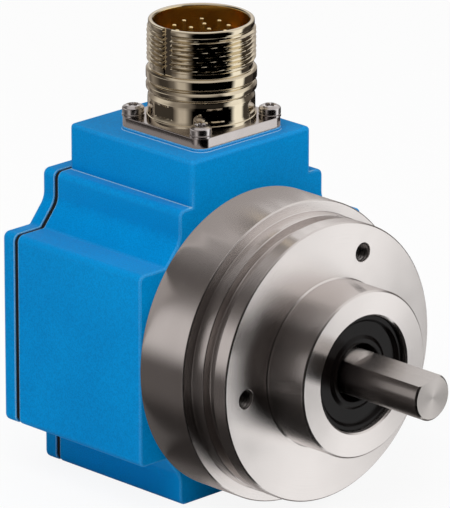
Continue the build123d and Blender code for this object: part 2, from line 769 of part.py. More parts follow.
gear_plate(gear_plate_front, gear_plate_bore, "front_gear_plate")
gear_plate(rear_plate_front, 0, "rear_gear_plate")
axle_len = gear_plate_front - rear_plate_back
group([Cylinder(axle_dia / 2, axle_len, align=(Align.CENTER, Align.CENTER, Align.MIN)).moved(
    facing(rear_plate_back, y, z, (1, 0, 0))) for y, z in axle_centres], "gear_axles")


def spacer_set(front_x, rear_x, name):
    """Write three tube spacers between two faces of the stack."""
    spots = [place(front_x, stack_radius, a) for a in stack_angles]
    tube = ring_piece(0, front_x - rear_x, spacer_dia, spacer_bore)
    group([tube.moved(Location(spot)) for spot in spots], name)


spacer_set(spigot_end, sensor_front, "sensor_spacers")
spacer_set(sensor_rear, gear_plate_front, "plate_spacers")
spacer_set(gear_plate_back, rear_plate_front, "gear_pillars")
spacer_set(rear_plate_back, main_front, "board_spacers")

header_size = (3.0, 14.0, 4.0)
chip_blocks = [(-6.0, -8.0, 9.0, 9.0, 1.4), (9.0, -6.0, 6.0, 8.0, 1.2), (-12.0, 6.0, 5.0, 4.0, 1.6),
               (2.0, 8.0, 7.0, 5.0, 1.2)]
with BuildPart() as main_board:
    with BuildSketch(Plane.YZ.offset(main_front)):
        Circle(main_board_dia / 2)
        stack_holes(spacer_bore)
    extrude(amount=-main_board_thick)
finish(main_board.part, "main_board")
header_depth, header_wide, header_high = header_size
header_z = 17.5
components = []
with BuildPart() as header:
    with BuildSketch(Plane.YZ.offset(main_front)):
        with Locations((0, header_z)):
            Rectangle(header_wide, header_high)
    extrude(amount=header_depth)
components.append(header.part)
for y, z, wide, high, deep in chip_blocks:
    with BuildPart() as chip:
        with BuildSketch(Plane.YZ.offset(main_rear)):
            with Locations((y, z)):
                Rectangle(wide, high)
        extrude(amount=-deep)
    components.append(chip.part)
group(components, "board_components")

stack_len = spigot_end - main_rear + stack_screw_grip
stack_screw = socket_screw(stack_head_dia, stack_head_len, stack_screw_core, stack_len, 1.5, 0.9)
group([stack_screw.moved(facing(*place(main_rear, stack_radius, a), (-1, 0, 0))) for a in stack_angles],
      "stack_screws")

# Turns counter: a pinion on the shaft and two stepped gears
pressure_angle = radians(20)


def involute(angle):
    """The involute function."""
    return tan(angle) - angle


def gear_outline(teeth, tooth_at):
    """One gear's outline on the YZ plane's own axes, with a tooth centred at the angle tooth_at."""
    pitch = gear_module * teeth / 2
    base = pitch * cos(pressure_angle)
    tip = pitch + tooth_height * gear_module
    root = pitch - tooth_root * gear_module
    half_pitch_angle = pi / (2 * teeth) - backlash / (2 * pitch)
    half_base = half_pitch_angle + involute(pressure_angle)
    half_tip = half_base - involute(acos(base / tip))
    sides = [(root, half_base), (max(base, root + 0.02), half_base), (pitch, half_pitch_angle),
             (tip, half_tip)]
    points = []
    for i in range(teeth):
        middle = radians(tooth_at) + 2 * pi * i / teeth
        flank = [(r, middle - a) for r, a in sides] + [(r, middle + a) for r, a in reversed(sides)]
        points += [(r * cos(a), r * sin(a)) for r, a in flank]
    return points


def gear_blank(front_x, teeth, tooth_at, centre, bore):
    """One toothed ring, from front_x backwards."""
    with BuildPart() as gear:
        with BuildSketch(Plane.YZ.offset(front_x)):
            with BuildLine():
                Polyline(*gear_outline(teeth, tooth_at), close=True)
            make_face()
            Circle(bore / 2, mode=Mode.SUBTRACT)
        extrude(amount=-gear_face)
    return gear.part.moved(Location((0, centre[1], centre[2])))


# The line from one gear's centre to the next fixes where a tooth meets a gap
first_to_second = first_gear_angle + second_gear_turn * 2
wheel_half_pitch = 180.0 / wheel_teeth
drive_pinion = gear_blank(first_plane, pinion_teeth, first_gear_angle, (0, 0, 0),
                          journal_dia + 2 * seat_gap)
finish(drive_pinion, "drive_pinion")

gear_bore = axle_dia + 2 * running_gap
first_wheel = gear_blank(first_plane, wheel_teeth, first_gear_angle + 180 + wheel_half_pitch,
                         first_centre, gear_bore)
first_pinion = gear_blank(second_plane, pinion_teeth, first_to_second, first_centre, gear_bore)
first_hub = ring_piece(first_plane - gear_face, gear_plane_gap, gear_hub_dia, gear_bore).moved(
    Location((0, first_centre[1], first_centre[2])))
with BuildPart() as first_turns_gear:
    add(first_wheel)
    add(first_pinion)
    add(first_hub)
finish(first_turns_gear.part, "first_turns_gear")

second_wheel = gear_blank(second_plane, wheel_teeth, first_to_second + 180 + wheel_half_pitch,
                          second_centre, gear_bore)
second_hub = ring_piece(gear_plate_back - 0.3, gear_plate_back - 0.3 - second_plane, gear_hub_dia,
                        gear_bore).moved(Location((0, second_centre[1], second_centre[2])))
with BuildPart() as second_turns_gear:
    add(second_wheel)
    add(second_hub)
finish(second_turns_gear.part, "second_turns_gear")
magnet_front = second_plane - gear_face
finish(ring_piece(magnet_front, magnet_thick, magnet_dia, gear_bore).moved(
    Location((0, second_centre[1], second_centre[2]))), "turns_magnet")

# Connector: square plate, threaded shell, insert with twelve pins
with BuildPart() as connector_plate:
    with BuildSketch(Plane.XY.offset(pad_top)):
        with Locations((connector_x, 0)):
            RectangleRounded(plate_size, plate_size, plate_corner)
    extrude(amount=connector_plate_thick)
    chamfer(connector_plate.faces().sort_by(Axis.Z)[-1].outer_wire().edges(), 0.25)
    with BuildSketch(Plane.XY.offset(pad_top)):
        with Locations((connector_x, 0)):
            Circle(shell_foot_dia / 2 + seat_gap)
        with Locations(*connector_holes):
            Circle(screw_hole_dia / 2)
    extrude(amount=connector_plate_thick, mode=Mode.SUBTRACT)
finish(connector_plate.part, "connector_plate")
with BuildPart() as connector_seal:
    with BuildSketch(Plane.XY.offset(pad_top)):
        with Locations((connector_x, 0)):
            Circle(plate_seal_dia / 2)
            Circle(shell_foot_dia / 2 + seat_gap, mode=Mode.SUBTRACT)
    extrude(amount=-plate_seal_thick)
finish(connector_seal.part, "connector_seal")

shell_radius = shell_dia / 2
ridge_radius = ridge_dia / 2
lip_radius_top = lip_dia / 2
ring_top = plate_top + plate_ring_height
shell_outline = [
    (shell_foot_dia / 2, foot_bottom), (shell_foot_dia / 2, plate_top), (ridge_radius, plate_top),
    (ridge_radius, ring_top), (shell_radius, ring_top), (shell_radius, plate_top + hex_top_height),
    (shell_radius - 2 * shell_corner, low_ridge_bottom), (ridge_radius - shell_corner, low_ridge_bottom),
    (ridge_radius, low_ridge_bottom + shell_corner), (ridge_radius, low_ridge_top - shell_corner),
    (ridge_radius - shell_corner, low_ridge_top), (relief_dia / 2, low_ridge_top),
    (relief_dia / 2, high_ridge_bottom), (ridge_radius - shell_corner, high_ridge_bottom),
    (ridge_radius, high_ridge_bottom + shell_corner), (ridge_radius, high_ridge_top - shell_corner),
    (ridge_radius - shell_corner, high_ridge_top), (relief_dia / 2, high_ridge_top),
    (relief_dia / 2, thread_bottom - thread_lead), (thread_dia / 2, thread_bottom),
    (thread_dia / 2, thread_top - lip_edge), (lip_radius_top, thread_top),
    (lip_radius_top, shell_top - lip_edge), (lip_radius_top - lip_edge, shell_top),
    (cup_dia / 2, shell_top), (cup_dia / 2, insert_top), (shell_bore_dia / 2, insert_top),
    (shell_bore_dia / 2, foot_bottom)]
with BuildPart() as connector_shell:
    add(turned_up(shell_outline))
    with BuildSketch(Plane.XY.offset(plate_top + hex_low_height)):
        with Locations((connector_x, 0)):
            Circle(shell_dia)
            RegularPolygon(shell_hex_size / 2, 6, major_radius=False, rotation=30, mode=Mode.SUBTRACT)
    extrude(amount=hex_top_height - hex_low_height, mode=Mode.SUBTRACT)
finish(connector_shell.part, "connector_shell")

# A thin ring holds the insert in the shell from below
with BuildPart() as insert_ring:
    with BuildSketch(Plane.XY.offset(insert_bottom)):
        with Locations((connector_x, 0)):
            Circle(shell_bore_dia / 2 - seat_gap)
            Circle(insert_ring_bore / 2, mode=Mode.SUBTRACT)
    extrude(amount=-insert_ring_thick)
finish(insert_ring.part, "insert_ring")

pin_spots = []
for count, circle_dia, first_angle in ((outer_pins, outer_pin_circle, outer_pin_angle),
                                       (inner_pins, inner_pin_circle, inner_pin_angle)):
    for i in range(count):
        turn = radians(first_angle + i * 360 / count)
        pin_spots.append((connector_x + circle_dia / 2 * cos(turn), circle_dia / 2 * sin(turn)))
with BuildPart() as connector_insert:
    with BuildSketch(Plane.XY.offset(insert_bottom)):
        with Locations((connector_x, 0)):
            Circle(shell_bore_dia / 2 - seat_gap)
        with Locations(*pin_spots):
            Circle(pin_dia / 2 + seat_gap, mode=Mode.SUBTRACT)
    extrude(amount=insert_top - insert_bottom)
finish(connector_insert.part, "connector_insert")

pins = []
for x, y in pin_spots:
    with BuildPart() as pin:
        with BuildSketch(Plane.XY.offset(pin_tail)):
            with Locations((x, y)):
                RegularPolygon(pin_dia / 2, pin_sides)
        extrude(amount=pin_top - pin_tail)
        chamfer(pin.faces().sort_by(Axis.Z)[-1].edges(), pin_dia / 4)
    pins.append(pin.part)
group(pins, "contact_pins")

# The screws clamp the plate through small washers
with BuildPart() as washer:
    with BuildSketch(Plane.XY.offset(plate_top)):
        Circle(connector_washer_dia / 2)
        Circle(screw_hole_dia / 2, mode=Mode.SUBTRACT)
    extrude(amount=connector_washer_thick)
group([washer.part.moved(Location((x, y, 0))) for x, y in connector_holes], "connector_washers")
connector_screw = socket_screw(connector_head_dia, connector_head_len, screw_core_dia, connector_screw_len,
                               head_socket, socket_depth)
head_z = plate_top + connector_washer_thick
group([connector_screw.moved(Location((x, y, head_z))) for x, y in connector_holes], "connector_screws")

# Connector board on the pin tails, and the flexible lead down to the main board
with BuildPart() as connector_board:
    with BuildSketch(Plane.XY.offset(plate_top - connector_board_depth)):
        with Locations((connector_x, 0)):
            Circle(connector_board_dia / 2)
        with Locations(*pin_spots):
            Circle(pin_dia / 2 + seat_gap, mode=Mode.SUBTRACT)
    extrude(amount=board_thick)
finish(connector_board.part, "connector_board")

lead_x = main_front + header_depth / 2
lead_start = header_z + header_high / 2
lead_z = pin_tail - 0.1 - lead_thick / 2
lead_end = connector_x + connector_board_dia / 2 - 1.5
with BuildPart() as flexible_lead:
    with BuildSketch(Plane.XZ.offset(-lead_width / 2)):
        with BuildLine() as lead_path:
            FilletPolyline((lead_x, lead_start), (lead_x, lead_z), (lead_end, lead_z), radius=lead_bend)
        trace(line_width=lead_thick)
    extrude(amount=lead_width)
finish(flexible_lead.part, "flexible_lead")
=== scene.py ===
"""Looks of the servo motor encoder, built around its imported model.

Lengths in the classes are millimetres in the model's own frame: the shaft lies along +X and points out
of the flange, +Z is up through the connector, and the origin is the centre of the mounting face.
"""

import json
import logging
import math
from dataclasses import dataclass
from enum import Enum
from typing import Callable, Iterable, Optional, Sequence, Union

import bmesh
import bpy
from mathutils import Matrix, Vector

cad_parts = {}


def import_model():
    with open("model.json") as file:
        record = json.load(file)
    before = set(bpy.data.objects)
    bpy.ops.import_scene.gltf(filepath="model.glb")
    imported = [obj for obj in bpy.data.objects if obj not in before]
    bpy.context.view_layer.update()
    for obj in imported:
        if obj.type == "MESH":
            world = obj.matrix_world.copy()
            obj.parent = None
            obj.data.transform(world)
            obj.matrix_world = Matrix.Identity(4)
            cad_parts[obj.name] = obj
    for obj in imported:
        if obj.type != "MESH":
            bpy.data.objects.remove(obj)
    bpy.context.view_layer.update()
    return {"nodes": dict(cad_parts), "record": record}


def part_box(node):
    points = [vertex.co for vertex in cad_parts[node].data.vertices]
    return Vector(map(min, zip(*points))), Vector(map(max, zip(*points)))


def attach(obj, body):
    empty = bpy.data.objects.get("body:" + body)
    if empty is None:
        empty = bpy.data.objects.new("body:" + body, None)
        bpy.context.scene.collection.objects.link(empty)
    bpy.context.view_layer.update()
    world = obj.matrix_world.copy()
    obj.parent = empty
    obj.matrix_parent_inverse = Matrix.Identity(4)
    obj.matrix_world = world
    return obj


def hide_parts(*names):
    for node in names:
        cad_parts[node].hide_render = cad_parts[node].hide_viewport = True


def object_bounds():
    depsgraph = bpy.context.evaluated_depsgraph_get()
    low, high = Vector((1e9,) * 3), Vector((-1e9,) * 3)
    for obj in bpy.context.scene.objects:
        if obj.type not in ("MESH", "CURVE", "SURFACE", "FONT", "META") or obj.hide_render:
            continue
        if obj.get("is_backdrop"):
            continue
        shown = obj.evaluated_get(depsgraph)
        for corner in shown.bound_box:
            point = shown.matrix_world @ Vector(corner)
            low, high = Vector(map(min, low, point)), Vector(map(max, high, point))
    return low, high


MM = 0.001
SHARP_ANGLE = math.radians(28.0)
JOIN_DISTANCE = 2e-7
SLIVER = 1e-7
FLAT_TOLERANCE = 1e-4
OVERLAP = 1.0
LOG = logging.getLogger("encoder")

Point = tuple[float, float]
Place = tuple[float, float, float]
Corner = tuple[float, float, float]
Colour = tuple[float, float, float]
Shape = Callable[[float, float, float], float]
Value = Union[bpy.types.NodeSocket, float]
Tint = Union[bpy.types.NodeSocket, Sequence[float]]


class Spin(Enum):
    """The axes that turned pieces are turned about."""

    SHAFT = "shaft"
    CONNECTOR = "connector"


# Outlines


def rounded(corners: Sequence[Corner], steps: int = 5, closed: bool = True) -> list[Point]:
    """Round the corners of an outline.

    Args:
        corners: (first, second, radius) of each corner, in order.
        steps: how many pieces each round has.
        closed: whether the last corner joins the first.

    Returns:
        The outline's points.
    """
    points: list[Point] = []
    count = len(corners)
    for i, (a, b, radius) in enumerate(corners):
        if radius <= 0 or (not closed and i in (0, count - 1)):
            points.append((a, b))
            continue
        here = Vector((a, b))
        back = Vector(corners[i - 1][:2]) - here
        ahead = Vector(corners[(i + 1) % count][:2]) - here
        reach_limit = 0.49 * min(back.length, ahead.length)
        back.normalize()
        ahead.normalize()
        half_angle = back.angle(ahead) / 2
        reach = min(radius / math.tan(half_angle), reach_limit)
        true_radius = reach * math.tan(half_angle)
        middle = here + (back + ahead).normalized() * (true_radius / math.sin(half_angle))
        start = here + back * reach - middle
        end = here + ahead * reach - middle
        sweep = start.angle_signed(end)
        for k in range(steps + 1):
            turned = start.copy()
            turned.rotate(Matrix.Rotation(-sweep * k / steps, 2))
            points.append((middle.x + turned.x, middle.y + turned.y))
    return points


def moved_in(outline: Sequence[Point], amount: float) -> list[Point]:
    """Move a closed anticlockwise outline inwards by a small amount.

    Args:
        outline: the outline's points.
        amount: how far it moves, in millimetres.

    Returns:
        The smaller outline.
    """
    count = len(outline)
    result: list[Point] = []
    for i in range(count):
        before = Vector(outline[i]) - Vector(outline[i - 1])
        after = Vector(outline[(i + 1) % count]) - Vector(outline[i])
        n_before = Vector((-before.y, before.x)).normalized()
        n_after = Vector((-after.y, after.x)).normalized()
        middle = (n_before + n_after).normalized()
        stretch = amount / max(0.5, middle.dot(n_after))
        result.append((outline[i][0] + middle.x * stretch, outline[i][1] + middle.y * stretch))
    return result


def ring_points(radius: float, count: int, centre: Point = (0.0, 0.0), start: float = 0.0) -> list[Point]:
    """Evenly spaced points on a circle, anticlockwise from the start angle."""
    turns = [start + 2 * math.pi * i / count for i in range(count)]
    return [(centre[0] + radius * math.cos(turn), centre[1] + radius * math.sin(turn)) for turn in turns]


def rounded_box_outline(width: float, height: float, radius: float, centre: Point = (0.0, 0.0),
                        steps: int = 6) -> list[Point]:
    """A rectangle with round corners, anticlockwise.

    Args:
        width: its size along the first direction.
        height: its size along the second direction.
        radius: the corners' radius.
        centre: its middle.
        steps: how many pieces each round has.

    Returns:
        The rectangle's points.
    """
    x, y = centre
    w, h = width / 2, height / 2
    corners = [(x + w, y - h, radius), (x + w, y + h, radius), (x - w, y + h, radius), (x - w, y - h, radius)]
    return rounded(corners, steps)


def lobed_outline(radius: float, depth: float, lobes: int, count: int) -> list[Point]:
    """A star with round lobes, as in a six-lobed screw socket.

    Args:
        radius: the mean radius.
        depth: how far the lobes rise and fall.
        lobes: how many there are.
        count: how many points the star has.

    Returns:
        The star's points.
    """
    points: list[Point] = []
    for i in range(count):
        turn = 2 * math.pi * i / count
        reach = radius + depth * math.cos(lobes * turn)
        points.append((reach * math.cos(turn), reach * math.sin(turn)))
    return points


# Meshes


def add_object(name: str, data: bpy.types.ID) -> bpy.types.Object:
    """Make an object and link it to the scene.

    Args:
        name: the object's name.
        data: its mesh, light or camera.

    Returns:
        The new object.
    """
    obj = bpy.data.objects.new(name, data)
    bpy.context.scene.collection.objects.link(obj)
    return obj


def make_object(name: str, vertices: Sequence[Place], faces: Sequence[Sequence[int]]) -> bpy.types.Object:
    """Make a mesh object from points in millimetres.

    Args:
        name: the piece's name.
        vertices: points in millimetres.
        faces: corner numbers of each face.

    Returns:
        The new object, linked to the scene.
    """
    mesh = bpy.data.meshes.new(name)
    mesh.from_pydata([(x * MM, y * MM, z * MM) for x, y, z in vertices], [], faces)
    mesh.validate()
    obj = add_object(name, mesh)
    tidy_mesh(mesh)
    keep_flats(obj)
    return obj


def keep_flats(obj: bpy.types.Object) -> None:
    """Shade large flat faces flat where they meet rounds."""
    obj.modifiers.new("weighted", "WEIGHTED_NORMAL").keep_sharp = True


def smooth(mesh: bpy.types.Mesh) -> None:
    """Shade a mesh smooth and mark its sharp edges.

    Args:
        mesh: the mesh that is changed.
    """
    for polygon in mesh.polygons:
        polygon.use_smooth = True
    mesh.set_sharp_from_angle(angle=SHARP_ANGLE)


def tidy_mesh(mesh: bpy.types.Mesh) -> None:
    """Join doubled points, face outwards and mark the sharp edges.

    Args:
        mesh: the mesh that is changed.
    """
    work = bmesh.new()
    work.from_mesh(mesh)
    bmesh.ops.remove_doubles(work, verts=work.verts, dist=JOIN_DISTANCE)
    bmesh.ops.dissolve_degenerate(work, edges=work.edges, dist=SLIVER)
    bmesh.ops.recalc_face_normals(work, faces=work.faces)
    work.to_mesh(mesh)
    work.free()
    smooth(mesh)


def spin_place(spin: Spin, along: float, radius: float, turn: float, centre_x: float = 0.0) -> Place:
    """The place of a point on a turned surface, in millimetres.

    Args:
        spin: the axis.
        along: the place along the axis.
        radius: the distance from the axis.
        turn: the angle round the axis.
        centre_x: the X place of the connector's axis.

    Returns:
        The point.
    """
    if spin is Spin.SHAFT:
        return (along, radius * math.cos(turn), radius * math.sin(turn))
    return (centre_x + radius * math.cos(turn), radius * math.sin(turn), along)


def turned_piece(name: str, spin: Spin, profile: Sequence[Point], segments: int, centre_x: float = 0.0,
                 shape: Optional[Shape] = None) -> bpy.types.Object:
    """Turn a closed profile about an axis.

    Args:
        name: the piece's name.
        spin: the axis.
        profile: (along, radius) points, closed; one that starts and ends on the axis makes a solid bar.
        segments: steps round the axis.
        centre_x: the X place of the connector's axis.
        shape: gives the radius at (turn, along, radius), for threads and flats.

    Returns:
        The turned object.
    """
    rows = list(profile)
    solid = rows[0][1] == 0.0 and rows[-1][1] == 0.0
    flat_start = solid and abs(rows[0][0] - rows[1][0]) < FLAT_TOLERANCE
    flat_end = solid and abs(rows[-1][0] - rows[-2][0]) < FLAT_TOLERANCE
    rows = rows[1 if flat_start else 0:len(rows) - 1 if flat_end else len(rows)]
    vertices: list[Place] = []
    faces: list[Sequence[int]] = []
    count = len(rows)
    for i in range(segments):
        turn = 2 * math.pi * i / segments
        for along, radius in rows:
            reach = shape(turn, along, radius) if shape else radius
            vertices.append(spin_place(spin, along, reach, turn, centre_x))
    for i in range(segments):
        for j in range(count - 1 if solid else count):
            a, b = i * count + j, i * count + (j + 1) % count
            c, d = ((i + 1) % segments) * count + (j + 1) % count, ((i + 1) % segments) * count + j
            faces.append((a, b, c, d))
    if flat_start:
        faces.append(tuple(i * count for i in range(segments)))
    if flat_end:
        faces.append(tuple(i * count + count - 1 for i in range(segments)))
    return make_object(name, vertices, faces)


def slab(name: str, outline: Sequence[Point], low: float, high: float,
         place: Callable[[float, float, float], Place], low_round: float = 0.0, high_round: float = 0.0,
         steps: int = 4) -> bpy.types.Object:
    """Extrude an outline, with round rims.

    Args:
        name: the piece's name.
        outline: anticlockwise points.
        low: where the slab starts.
        high: where the slab ends.
        place: turns (first, second, height) into a point.
        low_round: the radius of the low rim.
        high_round: the radius of the high rim.
        steps: how many pieces a rim has.

    Returns:
        The slab.
    """
    levels: list[Point] = []
    if low_round > 0:
        for k in range(steps + 1):
            a = math.pi / 2 * k / steps
            levels.append((low + low_round * (1 - math.cos(a)), low_round * (1 - math.sin(a))))
    else:
        levels.append((low, 0.0))
    if high_round > 0:
        for k in range(steps + 1):
            a = math.pi / 2 * (1 - k / steps)
            levels.append((high - high_round * (1 - math.cos(a)), high_round * (1 - math.sin(a))))
    else:
        levels.append((high, 0.0))
    vertices: list[Place] = []
    for height, inset in levels:
        ring = moved_in(outline, inset) if inset > 0 else outline
        vertices += [place(a, b, height) for a, b in ring]
    count = len(outline)
    faces: list[Sequence[int]] = [tuple(reversed(range(count)))]
    for level in range(len(levels) - 1):
        for i in range(count):
            a, b = level * count + i, level * count + (i + 1) % count
            faces.append((a, b, b + count, a + count))
    top = (len(levels) - 1) * count
    faces.append(tuple(range(top, top + count)))
    return make_object(name, vertices, faces)


def across_shaft(first: float, second: float, height: float) -> Place:
    """A point of an outline that lies across the shaft."""
    return (height, first, second)


def flat_up(first: float, second: float, height: float) -> Place:
    """A point of an outline that lies flat."""
    return (first, second, height)


def combine(target: bpy.types.Object, others: Iterable[bpy.types.Object], operation: str) -> bpy.types.Object:
    """Cut or join pieces into the target and remove them.

    Args:
        target: the piece that stays.
        others: the pieces used up.
        operation: UNION or DIFFERENCE.

    Returns:
        The target.
    """
    target.modifiers.clear()
    for other in others:
        mod = target.modifiers.new("combine", "BOOLEAN")
        mod.operation = operation
        mod.solver = "EXACT"
        mod.object = other
        graph = bpy.context.evaluated_depsgraph_get()
        made = bpy.data.meshes.new_from_object(target.evaluated_get(graph))
        old = target.data
        target.modifiers.clear()
        target.data = made
        bpy.data.meshes.remove(old)
        bpy.data.objects.remove(other)
        tidy_mesh(made)
    keep_flats(target)
    return target


def join_all(name: str, parts: Sequence[bpy.types.Object]) -> bpy.types.Object:
    """Join several objects into one piece.

    Args:
        name: the piece's name.
        parts: the objects, which are used up.

    Returns:
        The piece.
    """
    work = bmesh.new()
    for part in parts:
        part.data.transform(part.matrix_world)
        work.from_mesh(part.data)
    mesh = bpy.data.meshes.new(name)
    work.to_mesh(mesh)
    work.free()
    for part in parts:
        bpy.data.objects.remove(part)
    smooth(mesh)
    obj = add_object(name, mesh)
    keep_flats(obj)
    return obj


# Finishes


class NodeSheet:
    """A material's node tree with short ways to add to it."""

    def __init__(self, name: str) -> None:
        """Start a material with one surface shader."""
        self.material = bpy.data.materials.new(name)
        self.material.use_nodes = True
        self.tree = self.material.node_tree
        self.shader = self.tree.nodes["Principled BSDF"]
        self.coords = self.tree.nodes.new("ShaderNodeTexCoord").outputs["Object"]

    def node(self, kind: str, **values: object) -> bpy.types.Node:
        """Add a node.

        Args:
            kind: the node's type.
            values: its attributes.

        Returns:
            The node.
        """
        made = self.tree.nodes.new(kind)
        for key, value in values.items():
            setattr(made, key, value)
        return made

    def link(self, source: bpy.types.NodeSocket, target: bpy.types.NodeSocket) -> None:
        """Join two sockets."""
        self.tree.links.new(source, target)

    def set(self, **values: object) -> None:
        """Set the shader's own sockets, by name with underscores for spaces."""
        for key, value in values.items():
            self.shader.inputs[key.replace("_", " ")].default_value = value

    def feed(self, target: bpy.types.NodeSocket, value: Union[Value, Tint]) -> None:
        """Join a socket to another one, or set its value.

        Args:
            target: the socket that is fed.
            value: a socket, a number or a plain colour.
        """
        if isinstance(value, bpy.types.NodeSocket):
            self.link(value, target)
        else:
            target.default_value = value

    def math(self, operation: str, *values: Value) -> bpy.types.NodeSocket:
        """Add a maths node.

        Args:
            operation: its operation.
            values: what it works on, numbers or sockets.

        Returns:
            Its result.
        """
        made = self.node("ShaderNodeMath", operation=operation)
        for socket, value in zip(made.inputs, values):
            self.feed(socket, value)
        return made.outputs[0]

    def noise(self, scale: float, detail: float = 2.0) -> bpy.types.NodeSocket:
        """Add a noise texture.

        Args:
            scale: how fine it is, per metre.
            detail: how many finer layers it has.

        Returns:
            Its value, 0 to 1.
        """
        made = self.node("ShaderNodeTexNoise")
        made.inputs["Scale"].default_value = scale
        made.inputs["Detail"].default_value = detail
        self.link(self.coords, made.inputs["Vector"])
        return made.outputs["Fac"]

    def ramp(self, value: bpy.types.NodeSocket,
             stops: Sequence[tuple[float, Sequence[float]]]) -> bpy.types.NodeSocket:
        """Colour a value.

        Args:
            value: what is coloured, 0 to 1.
            stops: (place, colour) pairs.

        Returns:
            The colour.
        """
        made = self.node("ShaderNodeValToRGB")
        elements = made.color_ramp.elements
        while len(elements) < len(stops):
            elements.new(0.5)
        for element, (place, colour) in zip(elements, stops):
            element.position = place
            element.color = (*colour[:3], 1.0)
        self.link(value, made.inputs["Fac"])
        return made.outputs["Color"]

    def spread(self, value: bpy.types.NodeSocket, low: float, high: float) -> bpy.types.NodeSocket:
        """Map a value of 0 to 1 onto low to high.

        Args:
            value: the value.
            low: the result at 0.
            high: the result at 1.

        Returns:
            The result.
        """
        made = self.node("ShaderNodeMapRange")
        made.inputs["To Min"].default_value = low
        made.inputs["To Max"].default_value = high
        self.link(value, made.inputs["Value"])
        return made.outputs["Result"]

    def rise(self, value: bpy.types.NodeSocket, start: float, end: float) -> bpy.types.Node:
        """Add a smooth step.

        Args:
            value: what rises.
            start: where the step starts.
            end: where it ends.

        Returns:
            The step's node.
        """
        made = self.node("ShaderNodeMapRange", interpolation_type="SMOOTHSTEP")
        made.inputs["From Min"].default_value = start
        made.inputs["From Max"].default_value = end
        self.link(value, made.inputs["Value"])
        return made

    def mix(self, factor: Value, first: bpy.types.NodeSocket, second: Tint,
            blend: str = "MIX") -> bpy.types.NodeSocket:
        """Mix two colours.

        Args:
            factor: the second colour's share, a number or a socket.
            first: the first colour.
            second: the second colour, a socket or a plain colour.
            blend: how they mix.

        Returns:
            The mixed colour.
        """
        made = self.node("ShaderNodeMix", data_type="RGBA", blend_type=blend)
        self.feed(made.inputs["Factor"], factor)
        self.link(first, made.inputs["A"])
        self.feed(made.inputs["B"], second)
        return made.outputs["Result"]

    def bump(self, height: bpy.types.NodeSocket, strength: float, distance: float,
             before: Optional[bpy.types.NodeSocket] = None) -> bpy.types.NodeSocket:
        """Add a bump.

        Args:
            height: the relief's height.
            strength: how much of it shows.
            distance: the height of 1, in metres.
            before: a normal that the bump builds on.

        Returns:
            The bumped normal.
        """
        made = self.node("ShaderNodeBump")
        made.inputs["Strength"].default_value = strength
        made.inputs["Distance"].default_value = distance
        self.link(height, made.inputs["Height"])
        if before is not None:
            self.link(before, made.inputs["Normal"])
        return made.outputs["Normal"]

    def split(self) -> bpy.types.NodeOutputs:
        """The X, Y and Z of the object's own coordinates.

        Returns:
            The three sockets.
        """
        made = self.node("ShaderNodeSeparateXYZ")
        self.link(self.coords, made.inputs[0])
        return made.outputs

    def shaft_radius(self) -> bpy.types.NodeSocket:
        """The distance from the shaft's axis.

        Returns:
            The distance, in metres.
        """
        place = self.split()
        squares = [self.math("MULTIPLY", place[i], place[i]) for i in (1, 2)]
        return self.math("SQRT", self.math("ADD", *squares))

    def lines(self, value: bpy.types.NodeSocket, scale: float) -> bpy.types.NodeSocket:
        """Fine uneven lines across a value, as a tool leaves.

        Args:
            value: the value that they cross.
            scale: how fine they are, per metre.

        Returns:
            Their height, 0 to 1.
        """
        made = self.node("ShaderNodeTexNoise", noise_dimensions="1D")
        made.inputs["Scale"].default_value = scale
        made.inputs["Detail"].default_value = 3.0
        self.link(value, made.inputs["W"])
        return made.outputs["Fac"]

    def clouded(self, colour: Colour, shade: float, scale: float, roughness: float, span: Point) -> None:
        """Colour and roughen the surface unevenly, in soft clouds.

        Args:
            colour: the surface's colour.
            shade: how dark the dark clouds are, as a share of the colour.
            scale: how fine the clouds are, per metre.
            roughness: the mean roughness.
            span: the smoothest and the roughest clouds, as shares of the roughness.
        """
        cloud = self.noise(scale, 3.0)
        self.link(self.ramp(cloud, [(0.3, [c * shade for c in colour]), (0.7, colour)]),
                  self.shader.inputs["Base Color"])
        self.link(self.spread(cloud, roughness * span[0], roughness * span[1]),
                  self.shader.inputs["Roughness"])

    def glow(self, colour: Tint, strength: Value = 1.0) -> bpy.types.NodeSocket:
        """Add an even light.

        Args:
            colour: the light's colour, a socket or a plain colour.
            strength: its strength, a socket or a number.

        Returns:
            The light.
        """
        made = self.node("ShaderNodeEmission")
        self.feed(made.inputs["Color"], colour)
        self.feed(made.inputs["Strength"], strength)
        return made.outputs[0]

    def show(self, shader: bpy.types.NodeSocket) -> None:
        """Make a shader the surface."""
        self.link(shader, self.tree.nodes["Material Output"].inputs["Surface"])


